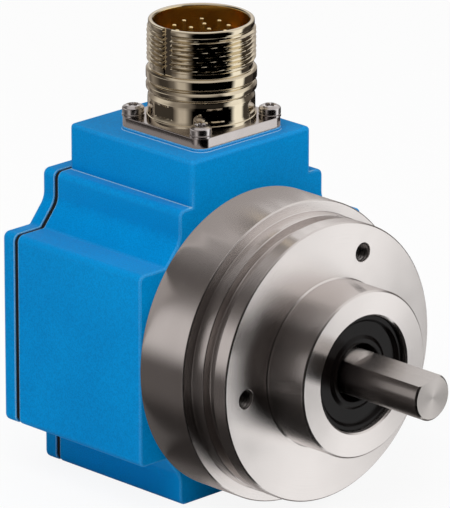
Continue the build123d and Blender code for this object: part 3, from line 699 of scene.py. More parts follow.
@dataclass(frozen=True)
class BluePaint:
    """Blue paint with fine orange peel on a die-cast housing, paler along its edges: a painted highlight."""

    colour: Colour = (0.0, 0.245, 0.605)
    light: Colour = (0.0, 0.285, 0.68)
    cloud_scale: float = 45.0
    speck_dark: Colour = (0.70, 0.84, 0.88)
    speck_light: Colour = (1.0, 1.06, 1.04)
    speck_scale: float = 3400.0
    speck_bump: float = 0.16
    speck_depth: float = 0.03 * MM
    peel_scale: float = 900.0
    peel_bump: float = 0.10
    peel_depth: float = 0.05 * MM
    roughness: Point = (0.30, 0.48)
    sheen: float = 0.05
    sheen_colour: Colour = (0.05, 0.5, 1.0)
    # edge is the paler colour along the edges: a painted highlight
    edge: Colour = (0.55, 0.80, 0.78)
    edge_reach: float = 0.35 * MM
    edge_slope: float = 12.0
    edge_share: float = 0.80

    def make(self) -> bpy.types.Material:
        """Build the paint's material.

        Returns:
            The material.
        """
        sheet = NodeSheet("blue_paint")
        base = sheet.ramp(sheet.noise(self.cloud_scale, 3.0), [(0.35, self.colour), (0.75, self.light)])
        grain = sheet.noise(self.speck_scale)
        specks = sheet.ramp(grain, [(0.38, self.speck_dark), (0.60, self.speck_light)])
        # The edges get a paler blue: a painted highlight
        paint = sheet.mix(self.edge_mask(sheet), sheet.mix(1.0, base, specks, "MULTIPLY"), (*self.edge, 1.0))
        sheet.link(paint, sheet.shader.inputs["Base Color"])
        sheet.link(sheet.spread(grain, *self.roughness), sheet.shader.inputs["Roughness"])
        sheet.set(Coat_Weight=0.0, Specular_IOR_Level=self.sheen, Specular_Tint=(*self.sheen_colour, 1.0))
        peel = sheet.bump(sheet.noise(self.peel_scale), self.peel_bump, self.peel_depth)
        sheet.link(sheet.bump(grain, self.speck_bump, self.speck_depth, peel), sheet.shader.inputs["Normal"])
        return sheet.material

    def edge_mask(self, sheet: NodeSheet) -> bpy.types.NodeSocket:
        """How near a point is to an edge, from a bevelled normal.

        Args:
            sheet: the paint's sheet.

        Returns:
            The paler edge's share.
        """
        bevel = sheet.node("ShaderNodeBevel", samples=6)
        bevel.inputs["Radius"].default_value = self.edge_reach
        plain = sheet.node("ShaderNodeNewGeometry")
        dot = sheet.node("ShaderNodeVectorMath", operation="DOT_PRODUCT")
        sheet.link(bevel.outputs[0], dot.inputs[0])
        sheet.link(plain.outputs["Normal"], dot.inputs[1])
        bent = sheet.math("SUBTRACT", 1.0, dot.outputs["Value"])
        near = sheet.math("MINIMUM", sheet.math("MULTIPLY", bent, self.edge_slope), 1.0)
        return sheet.math("MULTIPLY", near, self.edge_share)


@dataclass(frozen=True)
class TurnedMetal:
    """Bare metal with the fine rings of a lathe tool round the shaft's axis."""

    name: str
    colour: Colour
    roughness: float
    grain: float
    anisotropy: float
    ring_scale: float = 5200.0
    ring_shade: float = 0.90
    ring_bump: float = 0.10
    ring_depth: float = 0.02 * MM
    tooth_scale: float = 4200.0
    tooth_bump: float = 0.05
    tooth_depth: float = 0.01 * MM
    cloud_scale: float = 160.0
    cloud_span: Point = (0.88, 1.15)

    def make(self) -> bpy.types.Material:
        """Build the metal's material.

        Returns:
            The material.
        """
        sheet = NodeSheet(self.name)
        rings = sheet.math("ADD", sheet.lines(sheet.shaft_radius(), self.ring_scale),
                           sheet.lines(sheet.split()["X"], self.ring_scale))
        tint = sheet.ramp(sheet.math("MULTIPLY", rings, 0.5),
                          [(0.25, [c * self.ring_shade for c in self.colour]), (0.75, self.colour)])
        sheet.link(tint, sheet.shader.inputs["Base Color"])
        cloud = sheet.noise(self.cloud_scale, 3.0)
        smoothest, roughest = (self.roughness * share for share in self.cloud_span)
        sheet.link(sheet.spread(cloud, smoothest, roughest), sheet.shader.inputs["Roughness"])
        sheet.set(Metallic=1.0, Anisotropic=self.anisotropy, Anisotropic_Rotation=0.25)
        tangent = sheet.node("ShaderNodeTangent", direction_type="RADIAL", axis="X")
        sheet.link(tangent.outputs[0], sheet.shader.inputs["Tangent"])
        coarse = sheet.bump(rings, self.ring_bump * self.grain, self.ring_depth)
        tooth = sheet.bump(sheet.noise(self.tooth_scale, 1.0), self.tooth_bump * self.grain, self.tooth_depth,
                           coarse)
        sheet.link(tooth, sheet.shader.inputs["Normal"])
        return sheet.material


@dataclass(frozen=True)
class PlatedMetal:
    """Smooth plated metal with slight clouding."""

    name: str
    colour: Colour
    roughness: float
    grain_scale: float = 2600.0
    grain: float = 0.2
    grain_bump: float = 0.3
    grain_depth: float = 0.02 * MM
    cloud_scale: float = 220.0
    cloud_shade: float = 0.88
    cloud_span: Point = (0.8, 1.3)

    def make(self) -> bpy.types.Material:
        """Build the plating's material.

        Returns:
            The material.
        """
        sheet = NodeSheet(self.name)
        sheet.clouded(self.colour, self.cloud_shade, self.cloud_scale, self.roughness, self.cloud_span)
        sheet.set(Metallic=1.0)
        sheet.link(sheet.bump(sheet.noise(self.grain_scale), self.grain * self.grain_bump, self.grain_depth),
                   sheet.shader.inputs["Normal"])
        return sheet.material


@dataclass(frozen=True)
class Moulded:
    """Moulded rubber or plastic."""

    name: str
    colour: Colour
    roughness: float
    coat: float = 0.0
    shine: float = 0.5
    grain: float = 0.3
    grain_scale: float = 1800.0
    grain_bump: float = 0.3
    grain_depth: float = 0.03 * MM
    cloud_scale: float = 300.0
    cloud_shade: float = 0.75
    cloud_span: Point = (0.85, 1.15)

    def make(self) -> bpy.types.Material:
        """Build the material.

        Returns:
            The material.
        """
        sheet = NodeSheet(self.name)
        sheet.clouded(self.colour, self.cloud_shade, self.cloud_scale, self.roughness, self.cloud_span)
        sheet.set(Coat_Weight=self.coat, Coat_Roughness=0.25, Specular_IOR_Level=self.shine)
        sheet.link(sheet.bump(sheet.noise(self.grain_scale), self.grain * self.grain_bump, self.grain_depth),
                   sheet.shader.inputs["Normal"])
        return sheet.material


@dataclass(frozen=True)
class DiscGlass:
    """Clear glass with a ring of fine dark tracks."""

    colour: Colour = (0.85, 0.92, 0.90)
    track_colour: Colour = (0.05, 0.05, 0.05)
    track_scale: float = 1500.0

    def make(self) -> bpy.types.Material:
        """Build the glass, with its tracks as a colour pattern.

        Returns:
            The material.
        """
        sheet = NodeSheet("disc_glass")
        band = sheet.lines(sheet.shaft_radius(), self.track_scale)
        sheet.link(sheet.ramp(band, [(0.45, self.colour), (0.55, self.track_colour)]),
                   sheet.shader.inputs["Base Color"])
        sheet.set(Roughness=0.05, Transmission_Weight=0.8, IOR=1.5)
        return sheet.material


class Finishes:
    """Every finish of the encoder, made once."""

    def __init__(self) -> None:
        """Make the materials: each one's colour and roughness, then what is its own."""
        self.blue_paint = BluePaint().make()
        self.turned_aluminium = TurnedMetal("turned_aluminium", (0.76, 0.72, 0.70), 0.25, 1.3, 0.94).make()
        # The hole threads are darker than the flange: painted shade inside the holes
        self.thread_aluminium = PlatedMetal("thread_aluminium", (0.30, 0.28, 0.27), 0.35).make()
        self.ground_steel = TurnedMetal("ground_steel", (0.50, 0.47, 0.45), 0.25, 0.9, 0.9, 7000.0).make()
        self.bearing_steel = PlatedMetal("bearing_steel", (0.70, 0.70, 0.70), 0.12).make()
        self.pressed_steel = PlatedMetal("pressed_steel", (0.60, 0.60, 0.60), 0.3).make()
        self.seal_rubber = Moulded("seal_rubber", (0.0035, 0.0022, 0.002), 0.26, shine=0.16).make()
        self.gasket_rubber = Moulded("gasket_rubber", (0.010, 0.010, 0.011), 0.65, shine=0.2).make()
        self.connector_nickel = PlatedMetal("connector_nickel", (0.73, 0.645, 0.485), 0.06, grain=0.02).make()
        self.cup_nickel = PlatedMetal("cup_nickel", (1.0, 0.68, 0.20), 0.20).make()
        self.plate_nickel = PlatedMetal("plate_nickel", (0.52, 0.48, 0.465), 0.15, 3000.0, 0.5).make()
        self.screw_steel = PlatedMetal("screw_steel", (0.66, 0.63, 0.62), 0.22, 3000.0, 0.6).make()
        self.insert_plastic = Moulded("insert_plastic", (0.05, 0.04, 0.03), 0.5).make()
        self.contact_gold = PlatedMetal("contact_gold", (1.0, 0.80, 0.42), 0.24).make()
        self.disc_glass = DiscGlass().make()
        self.hub_aluminium = PlatedMetal("hub_aluminium", (0.74, 0.74, 0.75), 0.3).make()
        self.gear_plastic = Moulded("gear_plastic", (0.72, 0.68, 0.55), 0.45).make()
        self.pinion_brass = PlatedMetal("pinion_brass", (0.80, 0.60, 0.25), 0.25).make()
        self.magnet = PlatedMetal("magnet", (0.35, 0.35, 0.37), 0.3).make()
        self.board_green = Moulded("board_green", (0.02, 0.16, 0.07), 0.35, 0.3).make()
        self.chip_black = Moulded("chip_black", (0.02, 0.02, 0.02), 0.5).make()
        self.lead_film = Moulded("lead_film", (0.50, 0.24, 0.04), 0.35).make()

    def of(self, slot: str) -> bpy.types.Material:
        """The finish of one of the record's slots."""
        return getattr(self, slot)


def dress(obj: bpy.types.Object, material: bpy.types.Material) -> bpy.types.Object:
    """Give a piece one material.

    Args:
        obj: the piece.
        material: its finish.

    Returns:
        The piece.
    """
    obj.data.materials.clear()
    obj.data.materials.append(material)
    return obj


def put(obj: bpy.types.Object, body: str, slot: str, *nodes: str) -> None:
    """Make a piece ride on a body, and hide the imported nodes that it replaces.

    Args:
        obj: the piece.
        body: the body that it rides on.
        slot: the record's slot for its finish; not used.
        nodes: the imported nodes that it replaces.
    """
    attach(obj, body)
    if nodes:
        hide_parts(*nodes)
    LOG.info("%s rides on %s", obj.name, body)


def shift(x: float, y: float, z: float) -> Matrix:
    """A move in millimetres."""
    return Matrix.Translation(Vector((x, y, z)) * MM)


# Sub-assemblies


@dataclass
class Housing:
    """The die-cast housing, its tower and its rear cover."""

    finishes: Finishes
    half: float = 32.5
    arm_y: float = 20.9
    arm_z: float = 21.1
    slope_y: float = 25.0
    slope_z: float = 26.0
    slope_lean: float = 0.55
    outer_round: float = 1.5
    throat_round: float = 4.0
    ledge_round: float = 0.8
    rim_round: float = 0.45
    seam_round: float = 0.15
    cover_round: float = 1.0
    wall: float = 3.0
    front_wall: float = 4.0
    tower_half: float = 17.4
    tower_round: float = 1.0
    tower_root: float = 5.0
    tower_roof: float = 7.0
    roof_round: float = 0.8
    spigot: float = 46.0
    pad_size: float = 25.2
    pad_corner: float = 2.8
    pad_height: float = 0.7
    pad_round: float = 0.2
    connector_x: float = -37.6
    foot_dia: float = 20.64
    boss_y: float = 26.6
    boss_z: float = 15.2
    recess_dia: float = 6.2
    recess_depth: float = 2.2
    bore_segments: int = 128
    foot_segments: int = 96
    recess_segments: int = 48

    def __post_init__(self) -> None:
        """Read the places of the housing and cover from the frame."""
        low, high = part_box("housing_body")
        self.rear, self.front, self.top = low.x / MM, high.x / MM, high.z / MM
        low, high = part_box("rear_cover")
        self.cover_rear, self.cover_front = low.x / MM, high.x / MM

    def cross(self, inset: float = 0.0) -> list[Point]:
        """The cross-shaped outline.

        Args:
            inset: how far it is moved in.

        Returns:
            The outline's points.
        """
        half, side_y, side_z = self.half - inset, self.arm_y - inset, self.arm_z - inset
        lean = inset * self.slope_lean
        quarter = [(half, side_z, self.outer_round), (self.slope_y - lean, side_z, self.ledge_round),
                   (side_y, self.slope_z - lean, self.throat_round), (side_y, half, self.outer_round)]
        mirrored = [(-y, z, r) for y, z, r in reversed(quarter)]
        below = [(-y, -z, r) for y, z, r in quarter] + [(y, -z, r) for y, z, r in reversed(quarter)]
        return rounded(quarter + mirrored + below, 6)

    def build(self) -> None:
        """Build the housing and its cover."""
        self.build_body()
        self.build_cover()

    def build_body(self) -> None:
        """Build the housing: cross body, tower and pad, hollow inside."""
        body = slab("housing_casting", self.cross(), self.rear, self.front, across_shaft,
                    self.seam_round, self.rim_round)
        length = self.front - self.rear
        top = self.top - self.pad_height
        inner_front = self.front - self.front_wall
        axis = (self.connector_x, 0.0)
        plan = rounded_box_outline(length, 2 * self.tower_half, self.tower_round,
                                   ((self.front + self.rear) / 2, 0.0))
        tower = slab("tower", plan, self.half - self.tower_root, top, flat_up, 0.0, self.roof_round)
        plan = rounded_box_outline(self.pad_size, self.pad_size, self.pad_corner, axis)
        pad = slab("pad", plan, top - OVERLAP, self.top, flat_up, 0.0, self.pad_round)
        combine(body, [tower, pad], "UNION")
        cavity = slab("cavity", self.cross(self.wall), self.rear - OVERLAP, inner_front, across_shaft)
        room = length - self.front_wall - self.wall
        plan = rounded_box_outline(room, 2 * (self.tower_half - self.wall), self.tower_round,
                                   (self.rear + self.wall + room / 2, 0.0))
        tower_room = slab("tower_room", plan, self.half - self.wall - OVERLAP, top - self.tower_roof, flat_up)
        bore = slab("bore", ring_points(self.spigot / 2, self.bore_segments), inner_front - OVERLAP,
                    self.front + OVERLAP, across_shaft)
        foot = slab("foot", ring_points(self.foot_dia / 2, self.foot_segments, axis),
                    top - self.tower_roof - OVERLAP, self.top + OVERLAP, flat_up)
        combine(body, [cavity, tower_room, bore, foot], "DIFFERENCE")
        body.visible_glossy = False
        put(dress(body, self.finishes.blue_paint), "stator", "blue_paint", "housing_body")

    def build_cover(self) -> None:
        """Build the rear cover with its screw recesses, and the screws."""
        cover = slab("cover_casting", self.cross(), self.cover_rear, self.cover_front, across_shaft,
                     self.cover_round, self.seam_round, 6)
        seat = self.cover_rear + self.recess_depth
        cutters = []
        screws = []
        for y, z in [(sy * self.boss_y, sz * self.boss_z) for sy in (-1, 1) for sz in (-1, 1)]:
            cutters.append(slab("recess", ring_points(self.recess_dia / 2, self.recess_segments, (y, z)),
                                self.cover_rear - OVERLAP, seat, across_shaft))
            screw = Screw("cover_screw", head=5.5, height=1.9, shank=2.5, length=10.0, socket=1.25)
            screws.append(screw.build(shift(seat, y, z) @ Matrix.Rotation(-math.pi / 2, 4, "Y")))
        combine(cover, cutters, "DIFFERENCE")
        cover.visible_glossy = False
        put(dress(cover, self.finishes.blue_paint), "stator", "blue_paint", "rear_cover")
        screw_set = join_all("cover_screw_set", screws)
        put(dress(screw_set, self.finishes.screw_steel), "stator", "screw_steel", "cover_screws")


@dataclass
class Screw:
    """A small screw with a domed head and a six-lobed socket."""

    name: str
    head: float
    height: float
    shank: float
    length: float
    socket: float
    tip: float = 0.3
    seat_edge: float = 0.12
    skirt: float = 0.12
    shoulder: float = 0.72
    crown: float = 0.98
    crown_width: float = 0.62
    socket_depth: float = 1.1
    socket_lobe: float = 0.16
    lobes: int = 6
    socket_segments: int = 48
    segments: int = 64

    def build(self, place: Matrix) -> bpy.types.Object:
        """Build the screw with its head's seat at the origin of place and its head along its +Z.

        Args:
            place: where the screw goes.

        Returns:
            The screw.
        """
        r, core = self.head / 2, self.shank / 2
        profile = rounded([(-self.length, 0.0, 0.0), (-self.length, core - self.tip, 0.1),
                           (-self.length + self.tip, core, 0.1), (0.0, core, 0.05),
                           (0.0, r - self.seat_edge, 0.1), (self.height * self.skirt, r, 0.15),
                           (self.height * self.shoulder, r, 0.45),
                           (self.height * self.crown, r * self.crown_width, 1.2),
                           (self.height, 0.0, 0.0)], 4, False)
        screw = turned_piece(self.name, Spin.CONNECTOR, profile, self.segments)
        plan = lobed_outline(self.socket, self.socket * self.socket_lobe, self.lobes, self.socket_segments)
        star = slab("star", plan, self.height - self.socket_depth, self.height + OVERLAP, flat_up)
        combine(screw, [star], "DIFFERENCE")
        screw.data.transform(place)
        return screw


@dataclass
class Flange:
    """The turned mounting flange with its threaded holes."""

    finishes: Finishes
    band_dia: float = 65.0
    band_chamfer: float = 0.25
    land_dia: float = 60.0
    land_chamfer: float = 0.3
    groove_dia: float = 56.0
    groove_edge: float = 0.15
    back_edge: float = 0.1
    rim: float = 3.5
    groove: float = 3.1
    land: float = 3.3
    collar_dia: float = 36.0
    collar_chamfer: float = 0.4
    root_height: float = 0.45
    root_fall: float = 0.15
    root_reach: float = 0.25
    seal_bore: float = 25.04
    seal_chamfer: float = 0.35
    seal_seat: float = 2.3
    web_bore: float = 19.0
    bearing_bore: float = 26.04
    bearing_depth: float = 20.0
    spigot: float = 46.0
    spigot_gap: float = 0.1
    hole_circle: float = 48.0
    hole_count: int = 3
    hole_angle: float = 65.0
    hole_depth: float = 9.0
    hole_cone: float = 0.8
    mouth_dia: float = 4.35
    thread_core: float = 3.3
    thread_dia: float = 4.0
    thread_pitch: float = 0.7
    thread_sink: float = 0.03
    thread_start: float = 0.28
    thread_rest: float = 0.4
    thread_root: float = 0.04
    thread_flank: float = 1.15
    thread_rows: int = 84
    segments: int = 288
    drill_segments: int = 64
    thread_segments: int = 48

    def __post_init__(self) -> None:
        """Read the flange's reach from the frame."""
        low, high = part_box("mounting_flange")
        self.spigot_end, self.nose = low.x / MM, high.x / MM
        self.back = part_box("housing_body")[1].x / MM

    def profile(self) -> list[Point]:
        """The flange's cross-section, from the seal bore round to the bearing bore.

        Returns:
            The cross-section's points.
        """
        seal, collar, land = self.seal_bore / 2, self.collar_dia / 2, self.land_dia / 2
        groove, band, bearing = self.groove_dia / 2, self.band_dia / 2, self.bearing_bore / 2
        spigot = self.spigot / 2 - self.spigot_gap
        front, rear = -self.rim, -self.rim - self.groove
        step = rear - self.land
        edge, root = self.groove_edge, self.root_height
        web = self.spigot_end + self.bearing_depth
        # Each corner is its place along the shaft, its radius and how round it is
        corners = [
            (self.nose, seal + self.seal_chamfer, 0.08), (self.nose, collar - self.collar_chamfer, 0.1),
            (self.nose - self.collar_chamfer, collar, 0.1), (root, collar, 0.2),
            (root - self.root_fall, collar - self.root_fall, 0.1), (0.0, collar + self.root_reach, 0.1),
            (0.0, land - self.land_chamfer, 0.08), (-self.land_chamfer, land, 0.08),
            (front + edge, land, 0.05), (front, land - edge, 0.05), (front, groove, 0.25),
            (rear, groove, 0.25), (rear, land - edge, 0.05), (rear - edge, land, 0.05), (step, land, 0.15),
            (step, band - self.band_chamfer, 0.08), (step - self.band_chamfer, band, 0.08),
            (self.back + self.back_edge, band, 0.05), (self.back, band - self.back_edge, 0.05),
            (self.back, spigot, 0.0), (self.spigot_end, spigot, 0.2), (self.spigot_end, bearing, 0.1),
            (web, bearing, 0.0), (web, self.web_bore / 2, 0.0), (self.seal_seat, self.web_bore / 2, 0.0),
            (self.seal_seat, seal, 0.0), (self.nose - self.seal_chamfer, seal, 0.08)]
        return rounded(corners, 3)

    def build(self) -> None:
        """Build the flange, cut its holes and thread them."""
        flange = turned_piece("flange_turning", Spin.SHAFT, self.profile(), self.segments)
        spots = ring_points(self.hole_circle / 2, self.hole_count, start=math.radians(self.hole_angle))
        holes = [self.hole_cutter(spot) for spot in spots]
        threads = [self.hole_thread(spot) for spot in spots]
        combine(flange, holes, "DIFFERENCE")
        put(dress(flange, self.finishes.turned_aluminium), "stator", "turned_aluminium", "mounting_flange")
        # The lining's darker aluminium is painted shade inside the holes
        lining = join_all("hole_threads", threads)
        put(dress(lining, self.finishes.thread_aluminium), "stator", "turned_aluminium")

    def hole_cutter(self, spot: Point) -> bpy.types.Object:
        """A drill shape with a chamfered mouth.

        Args:
            spot: the hole's place across the shaft.

        Returns:
            The drill shape.
        """
        radius, mouth = self.thread_dia / 2, self.mouth_dia / 2
        out = OVERLAP / 2
        profile = [(-self.hole_depth - self.hole_cone, 0.0), (-self.hole_depth, radius),
                   (radius - mouth, radius), (0.0, mouth), (out, mouth + out), (out, 0.0)]
        cutter = turned_piece("drill", Spin.SHAFT, profile, self.drill_segments)
        cutter.data.transform(shift(0.0, *spot))
        return cutter

    def hole_thread(self, spot: Point) -> bpy.types.Object:
        """The inner thread of one hole, as a lining of helical ridges.

        Args:
            spot: the hole's place across the shaft.

        Returns:
            The lining.
        """
        outer, inner = self.thread_dia / 2 + self.thread_sink, self.thread_core / 2
        deep, shallow = self.thread_rest - self.hole_depth, -self.thread_start
        rows = self.thread_rows
        profile = [(deep + (shallow - deep) * k / rows, inner) for k in range(rows + 1)]
        profile += [(shallow, outer), (deep, outer)]

        def ridge(turn: float, along: float, radius: float) -> float:
            """The thread's radius at a point.

            Args:
                turn: the angle round the hole.
                along: the place along the hole.
                radius: the lining's plain radius.

            Returns:
                The radius.
            """
            if radius > inner:
                return radius
            phase = (along / self.thread_pitch + turn / (2 * math.pi)) % 1.0
            wave = min(1.0, abs(2 * phase - 1.0) * self.thread_flank)
            start = min(1.0, max(0.0, (shallow - along) / self.thread_pitch))
            return outer - self.thread_root - (outer - inner) * start * wave

        thread = turned_piece("thread", Spin.SHAFT, profile, self.thread_segments, shape=ridge)
        thread.data.transform(shift(0.0, *spot))
        return thread


@dataclass
class Shaft:
    """The ground shaft with its flat."""

    finishes: Finishes
    dia: float = 10.0
    chamfer: float = 0.4
    flat_height: float = 3.8
    flat_length: float = 19.4
    flat_turn: float = 8.7
    cutter_reach: float = 4.0
    cutter_width: float = 14.0
    cutter_top: float = 8.0
    cutter_corner: float = 0.2
    shoulder_front: float = -7.2
    shoulder_rear: float = -13.2
    shoulder_dia: float = 13.0
    seat_rear: float = -22.9
    neck_dia: float = 8.0
    tail_length: float = 3.2
    tail_dia: float = 4.0
    segments: int = 160

    def build(self) -> None:
        """Build the shaft from its end through the bearings to its tail, and cut the flat."""
        low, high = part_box("shaft")
        tail, end = low.x / MM, high.x / MM
        r, shoulder, neck, pin = self.dia / 2, self.shoulder_dia / 2, self.neck_dia / 2, self.tail_dia / 2
        # Each corner is its place along the shaft, its radius and how round it is
        profile = rounded([
            (end, 0.0, 0.0), (end, r - self.chamfer, 0.06), (end - self.chamfer, r, 0.06),
            (self.shoulder_front, r, 0.0), (self.shoulder_front, shoulder, 0.1),
            (self.shoulder_rear, shoulder, 0.1), (self.shoulder_rear, r, 0.0), (self.seat_rear, r, 0.1),
            (self.seat_rear, neck, 0.0), (tail + self.tail_length, neck, 0.1),
            (tail + self.tail_length, pin, 0.0), (tail, pin, 0.2), (tail, 0.0, 0.0)], 3, False)
        shaft = turned_piece("shaft_bar", Spin.SHAFT, profile, self.segments)
        cut = self.flat_length + self.cutter_reach
        plan = rounded_box_outline(cut, self.cutter_width, self.cutter_corner,
                                   (end + self.cutter_reach - cut / 2, 0.0))
        block = slab("flat", plan, self.flat_height, self.cutter_top, flat_up)
        block.data.transform(Matrix.Rotation(math.radians(self.flat_turn), 4, "X"))
        combine(shaft, [block], "DIFFERENCE")
        put(dress(shaft, self.finishes.ground_steel), "rotor", "ground_steel", "shaft")


@dataclass
class LipSeal:
    """The rubber shaft seal in the collar.

    The bulge and the lip's throat are given as depth below the face and height above the shaft, the throat's
    depth being above the lip.
    """

    finishes: Finishes
    dia: float = 25.0
    shaft_dia: float = 10.0
    case: float = 1.1
    case_edge: float = 0.25
    rear_chamfer: float = 0.3
    dish_depth: float = 0.9
    dish_slope: float = 0.45
    bulge_foot: float = 3.0
    bulge_crest: Point = (0.35, 2.2)
    bulge_inner: Point = (0.45, 1.25)
    lip_throat: Point = (1.2, 0.55)
    lip_gap: float = 0.1
    lip_rear: float = 1.6
    lip_low: float = 0.9
    lip_high: float = 1.5
    web_rear: float = 2.1
    web_foot: float = 2.9
    segments: int = 192

    def build(self) -> None:
        """Build the seal: case, dished web, spring bulge and lip."""
        low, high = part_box("shaft_seal")
        rear, front = low.x / MM, high.x / MM
        outer, shaft = self.dia / 2, self.shaft_dia / 2
        case, dish, web = outer - self.case, front - self.dish_depth, front - self.web_rear
        lip = (rear + front) / 2
        back = lip - self.lip_rear
        # Each corner is its place along the shaft, its radius and how round it is
        profile = rounded([
            (front, outer - self.case_edge, 0.15), (front, case, 0.35), (dish, case - self.dish_slope, 0.4),
            (dish, shaft + self.bulge_foot, 0.5),
            (front - self.bulge_crest[0], shaft + self.bulge_crest[1], 0.5),
            (front - self.bulge_inner[0], shaft + self.bulge_inner[1], 0.4),
            (lip + self.lip_throat[0], shaft + self.lip_throat[1], 0.5), (lip, shaft + self.lip_gap, 0.1),
            (back, shaft + self.lip_low, 0.1), (back, shaft + self.lip_high, 0.2),
            (web, shaft + self.web_foot, 0.3), (web, case, 0.3), (rear, case, 0.1),
            (rear, outer - self.rear_chamfer, 0.1), (rear + self.rear_chamfer, outer, 0.1),
            (front - self.case_edge, outer, 0.15)], 5)
        seal = turned_piece("lip_seal", Spin.SHAFT, profile, self.segments)
        put(dress(seal, self.finishes.seal_rubber), "stator", "seal_rubber", "shaft_seal")


@dataclass
class Connector:
    """The round receptacle: plate, threaded shell, insert, pins and screws.

    The shell's outside below the thread is in lower_steps, as height above the plate, radius and how round
    each corner is, and its lip is in lip_steps in the same way, as depth below the rim.
    """

    finishes: Finishes
    x: float = -37.6
    plate_size: float = 25.0
    plate_corner: float = 2.8
    plate_edges: Point = (0.15, 0.18)
    hole_pitch: float = 20.2
    hole_dia: float = 3.4
    foot_dia: float = 20.6
    foot_gap: float = 0.02
    lower_steps: tuple[Corner, ...] = (
        (0.0, 11.6, 0.0), (0.95, 11.6, 0.3), (1.0, 11.35, 0.1), (1.75, 11.3, 0.1), (1.95, 11.3, 0.0),
        (4.3, 11.3, 0.3), (4.9, 11.25, 0.6), (5.9, 10.75, 0.6), (6.2, 11.2, 0.2), (6.5, 11.62, 0.3),
        (7.4, 11.65, 0.3), (8.0, 11.2, 0.3), (8.15, 10.9, 0.15), (8.4, 10.9, 0.15), (8.6, 11.3, 0.2),
        (8.9, 11.65, 0.15), (10.6, 11.65, 0.2), (11.0, 11.2, 0.2), (11.1, 10.8, 0.2), (12.0, 10.8, 0.2))
    lip_steps: tuple[Corner, ...] = (
        (1.2, 11.1, 0.0), (1.0, 11.15, 0.1), (0.0, 11.15, 0.35), (0.0, 10.35, 0.25))
    outside: float = 10.6
    hexagon: float = 21.9
    hexagon_span: Point = (1.9, 4.7)
    thread_dia: float = 23.0
    thread_root: float = 21.85
    thread_crest: float = 11.4
    thread_foot: float = 12.15
    thread_end: float = 1.25
    thread_rows: int = 100
    thread_flank: float = 1.5
    thread_fade: Point = (0.5, 0.4)
    thread_slack: float = 0.01
    pitch: float = 1.0
    slot_angle: float = -85.0
    slot_width: float = 2.0
    slot_radius: float = 10.55
    slot_foot: float = 11.05
    cup_dia: float = 20.2
    cup_chamfer: float = 0.35
    cup_slack: float = 0.05
    shell_bore: float = 18.4
    insert_gap: float = 0.02
    pin_dia: float = 1.0
    pin_depth: float = 1.8
    outer_pins: int = 9
    outer_circle: float = 11.5
    outer_angle: float = 15.0
    inner_pins: int = 3
    inner_circle: float = 4.5
    screw_turns: Point = (0.3, 0.9)
    segments: int = 360
    insert_segments: int = 128
    foot_segments: int = 96
    small_segments: int = 32

    def __post_init__(self) -> None:
        """Read the connector's heights from the frame."""
        low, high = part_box("connector_plate")
        self.plate_low, self.plate_high = low.z / MM, high.z / MM
        low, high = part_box("connector_shell")
        self.foot_low, self.rim = low.z / MM, high.z / MM
        low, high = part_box("connector_insert")
        self.insert_low, self.insert_high = low.z / MM, high.z / MM
        self.pin_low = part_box("contact_pins")[0].z / MM
        self.pin_high = self.rim - self.pin_depth
        self.thread_low = self.plate_high + self.thread_foot
        self.thread_high = self.rim - self.thread_end

    def build(self) -> None:
        """Build every piece of the connector."""
        self.build_plate()
        self.build_shell()
        self.build_insert()
        self.build_pins()
        self.build_screws()

    def screw_spots(self) -> list[Point]:
        """The four screws' places."""
        h = self.hole_pitch / 2
        return [(self.x + sx * h, sy * h) for sx in (-1, 1) for sy in (-1, 1)]

    def build_plate(self) -> None:
        """Build the square plate with its holes."""
        axis = (self.x, 0.0)
        plan = rounded_box_outline(self.plate_size, self.plate_size, self.plate_corner, axis, 8)
        plate = slab("square_plate", plan, self.plate_low, self.plate_high, flat_up, *self.plate_edges)
        rings = [ring_points(self.hole_dia / 2, self.small_segments, spot) for spot in self.screw_spots()]
        rings.append(ring_points(self.foot_dia / 2 + self.foot_gap, self.foot_segments, axis))
        cutters = [slab("hole", ring, self.plate_low - OVERLAP, self.plate_high + OVERLAP, flat_up)
                   for ring in rings]
        combine(plate, cutters, "DIFFERENCE")
        put(dress(plate, self.finishes.plate_nickel), "stator", "plate_nickel", "connector_plate")

    def shell_profile(self) -> list[Point]:
        """The shell's cross-section, with the thread's rows filled in.

        Returns:
            The cross-section's points.
        """
        low, rim = self.plate_high, self.rim
        cup, bore, foot = self.cup_dia / 2, self.shell_bore / 2, self.foot_dia / 2
        step = (self.thread_high - self.thread_low) / self.thread_rows
        wall = rounded([(low + height, r, bend) for height, r, bend in self.lower_steps], 4, False)
        wall += [(self.thread_low + step * k, self.thread_dia / 2) for k in range(self.thread_rows + 1)]
        wall += rounded([*((rim - depth, r, bend) for depth, r, bend in self.lip_steps),
                         (rim - self.cup_chamfer, cup, 0.2), (self.insert_high, cup, 0.0),
                         (self.insert_high, bore, 0.0), (self.foot_low, bore, 0.0),
                         (self.foot_low, foot, 0.0), (low, foot, 0.0)], 4, False)
        return wall

    def shell_shape(self, turn: float, along: float, radius: float) -> float:
        """The shell's radius with its thread, hexagon and slot.

        Args:
            turn: the angle round the connector's axis.
            along: the height.
            radius: the shell's plain radius.

        Returns:
            The radius.
        """
        height = along - self.plate_high
        if radius > self.outside and self.hexagon_span[0] < height < self.hexagon_span[1]:
            face = (turn % (math.pi / 3)) - math.pi / 6
            radius = min(radius, self.hexagon / 2 / math.cos(face))
        slack = self.thread_slack
        if radius > self.thread_crest and self.thread_low - slack < along < self.thread_high + slack:
            phase = (along / self.pitch - turn / (2 * math.pi)) % 1.0
            wave = min(1.0, abs(2 * phase - 1.0) * self.thread_flank)
            fade = min(1.0, (along - self.thread_low) / self.thread_fade[0],
                       (self.thread_high - along) / self.thread_fade[1])
            radius -= (self.thread_dia - self.thread_root) / 2 * (1.0 - max(0.0, fade) * (1.0 - wave))
        if radius > self.outside and height > self.slot_foot:
            aside = turn - math.radians(self.slot_angle)
            if math.cos(aside) > 0 and abs(math.sin(aside) * radius) < self.slot_width / 2:
                radius = min(radius, self.slot_radius)
        return radius

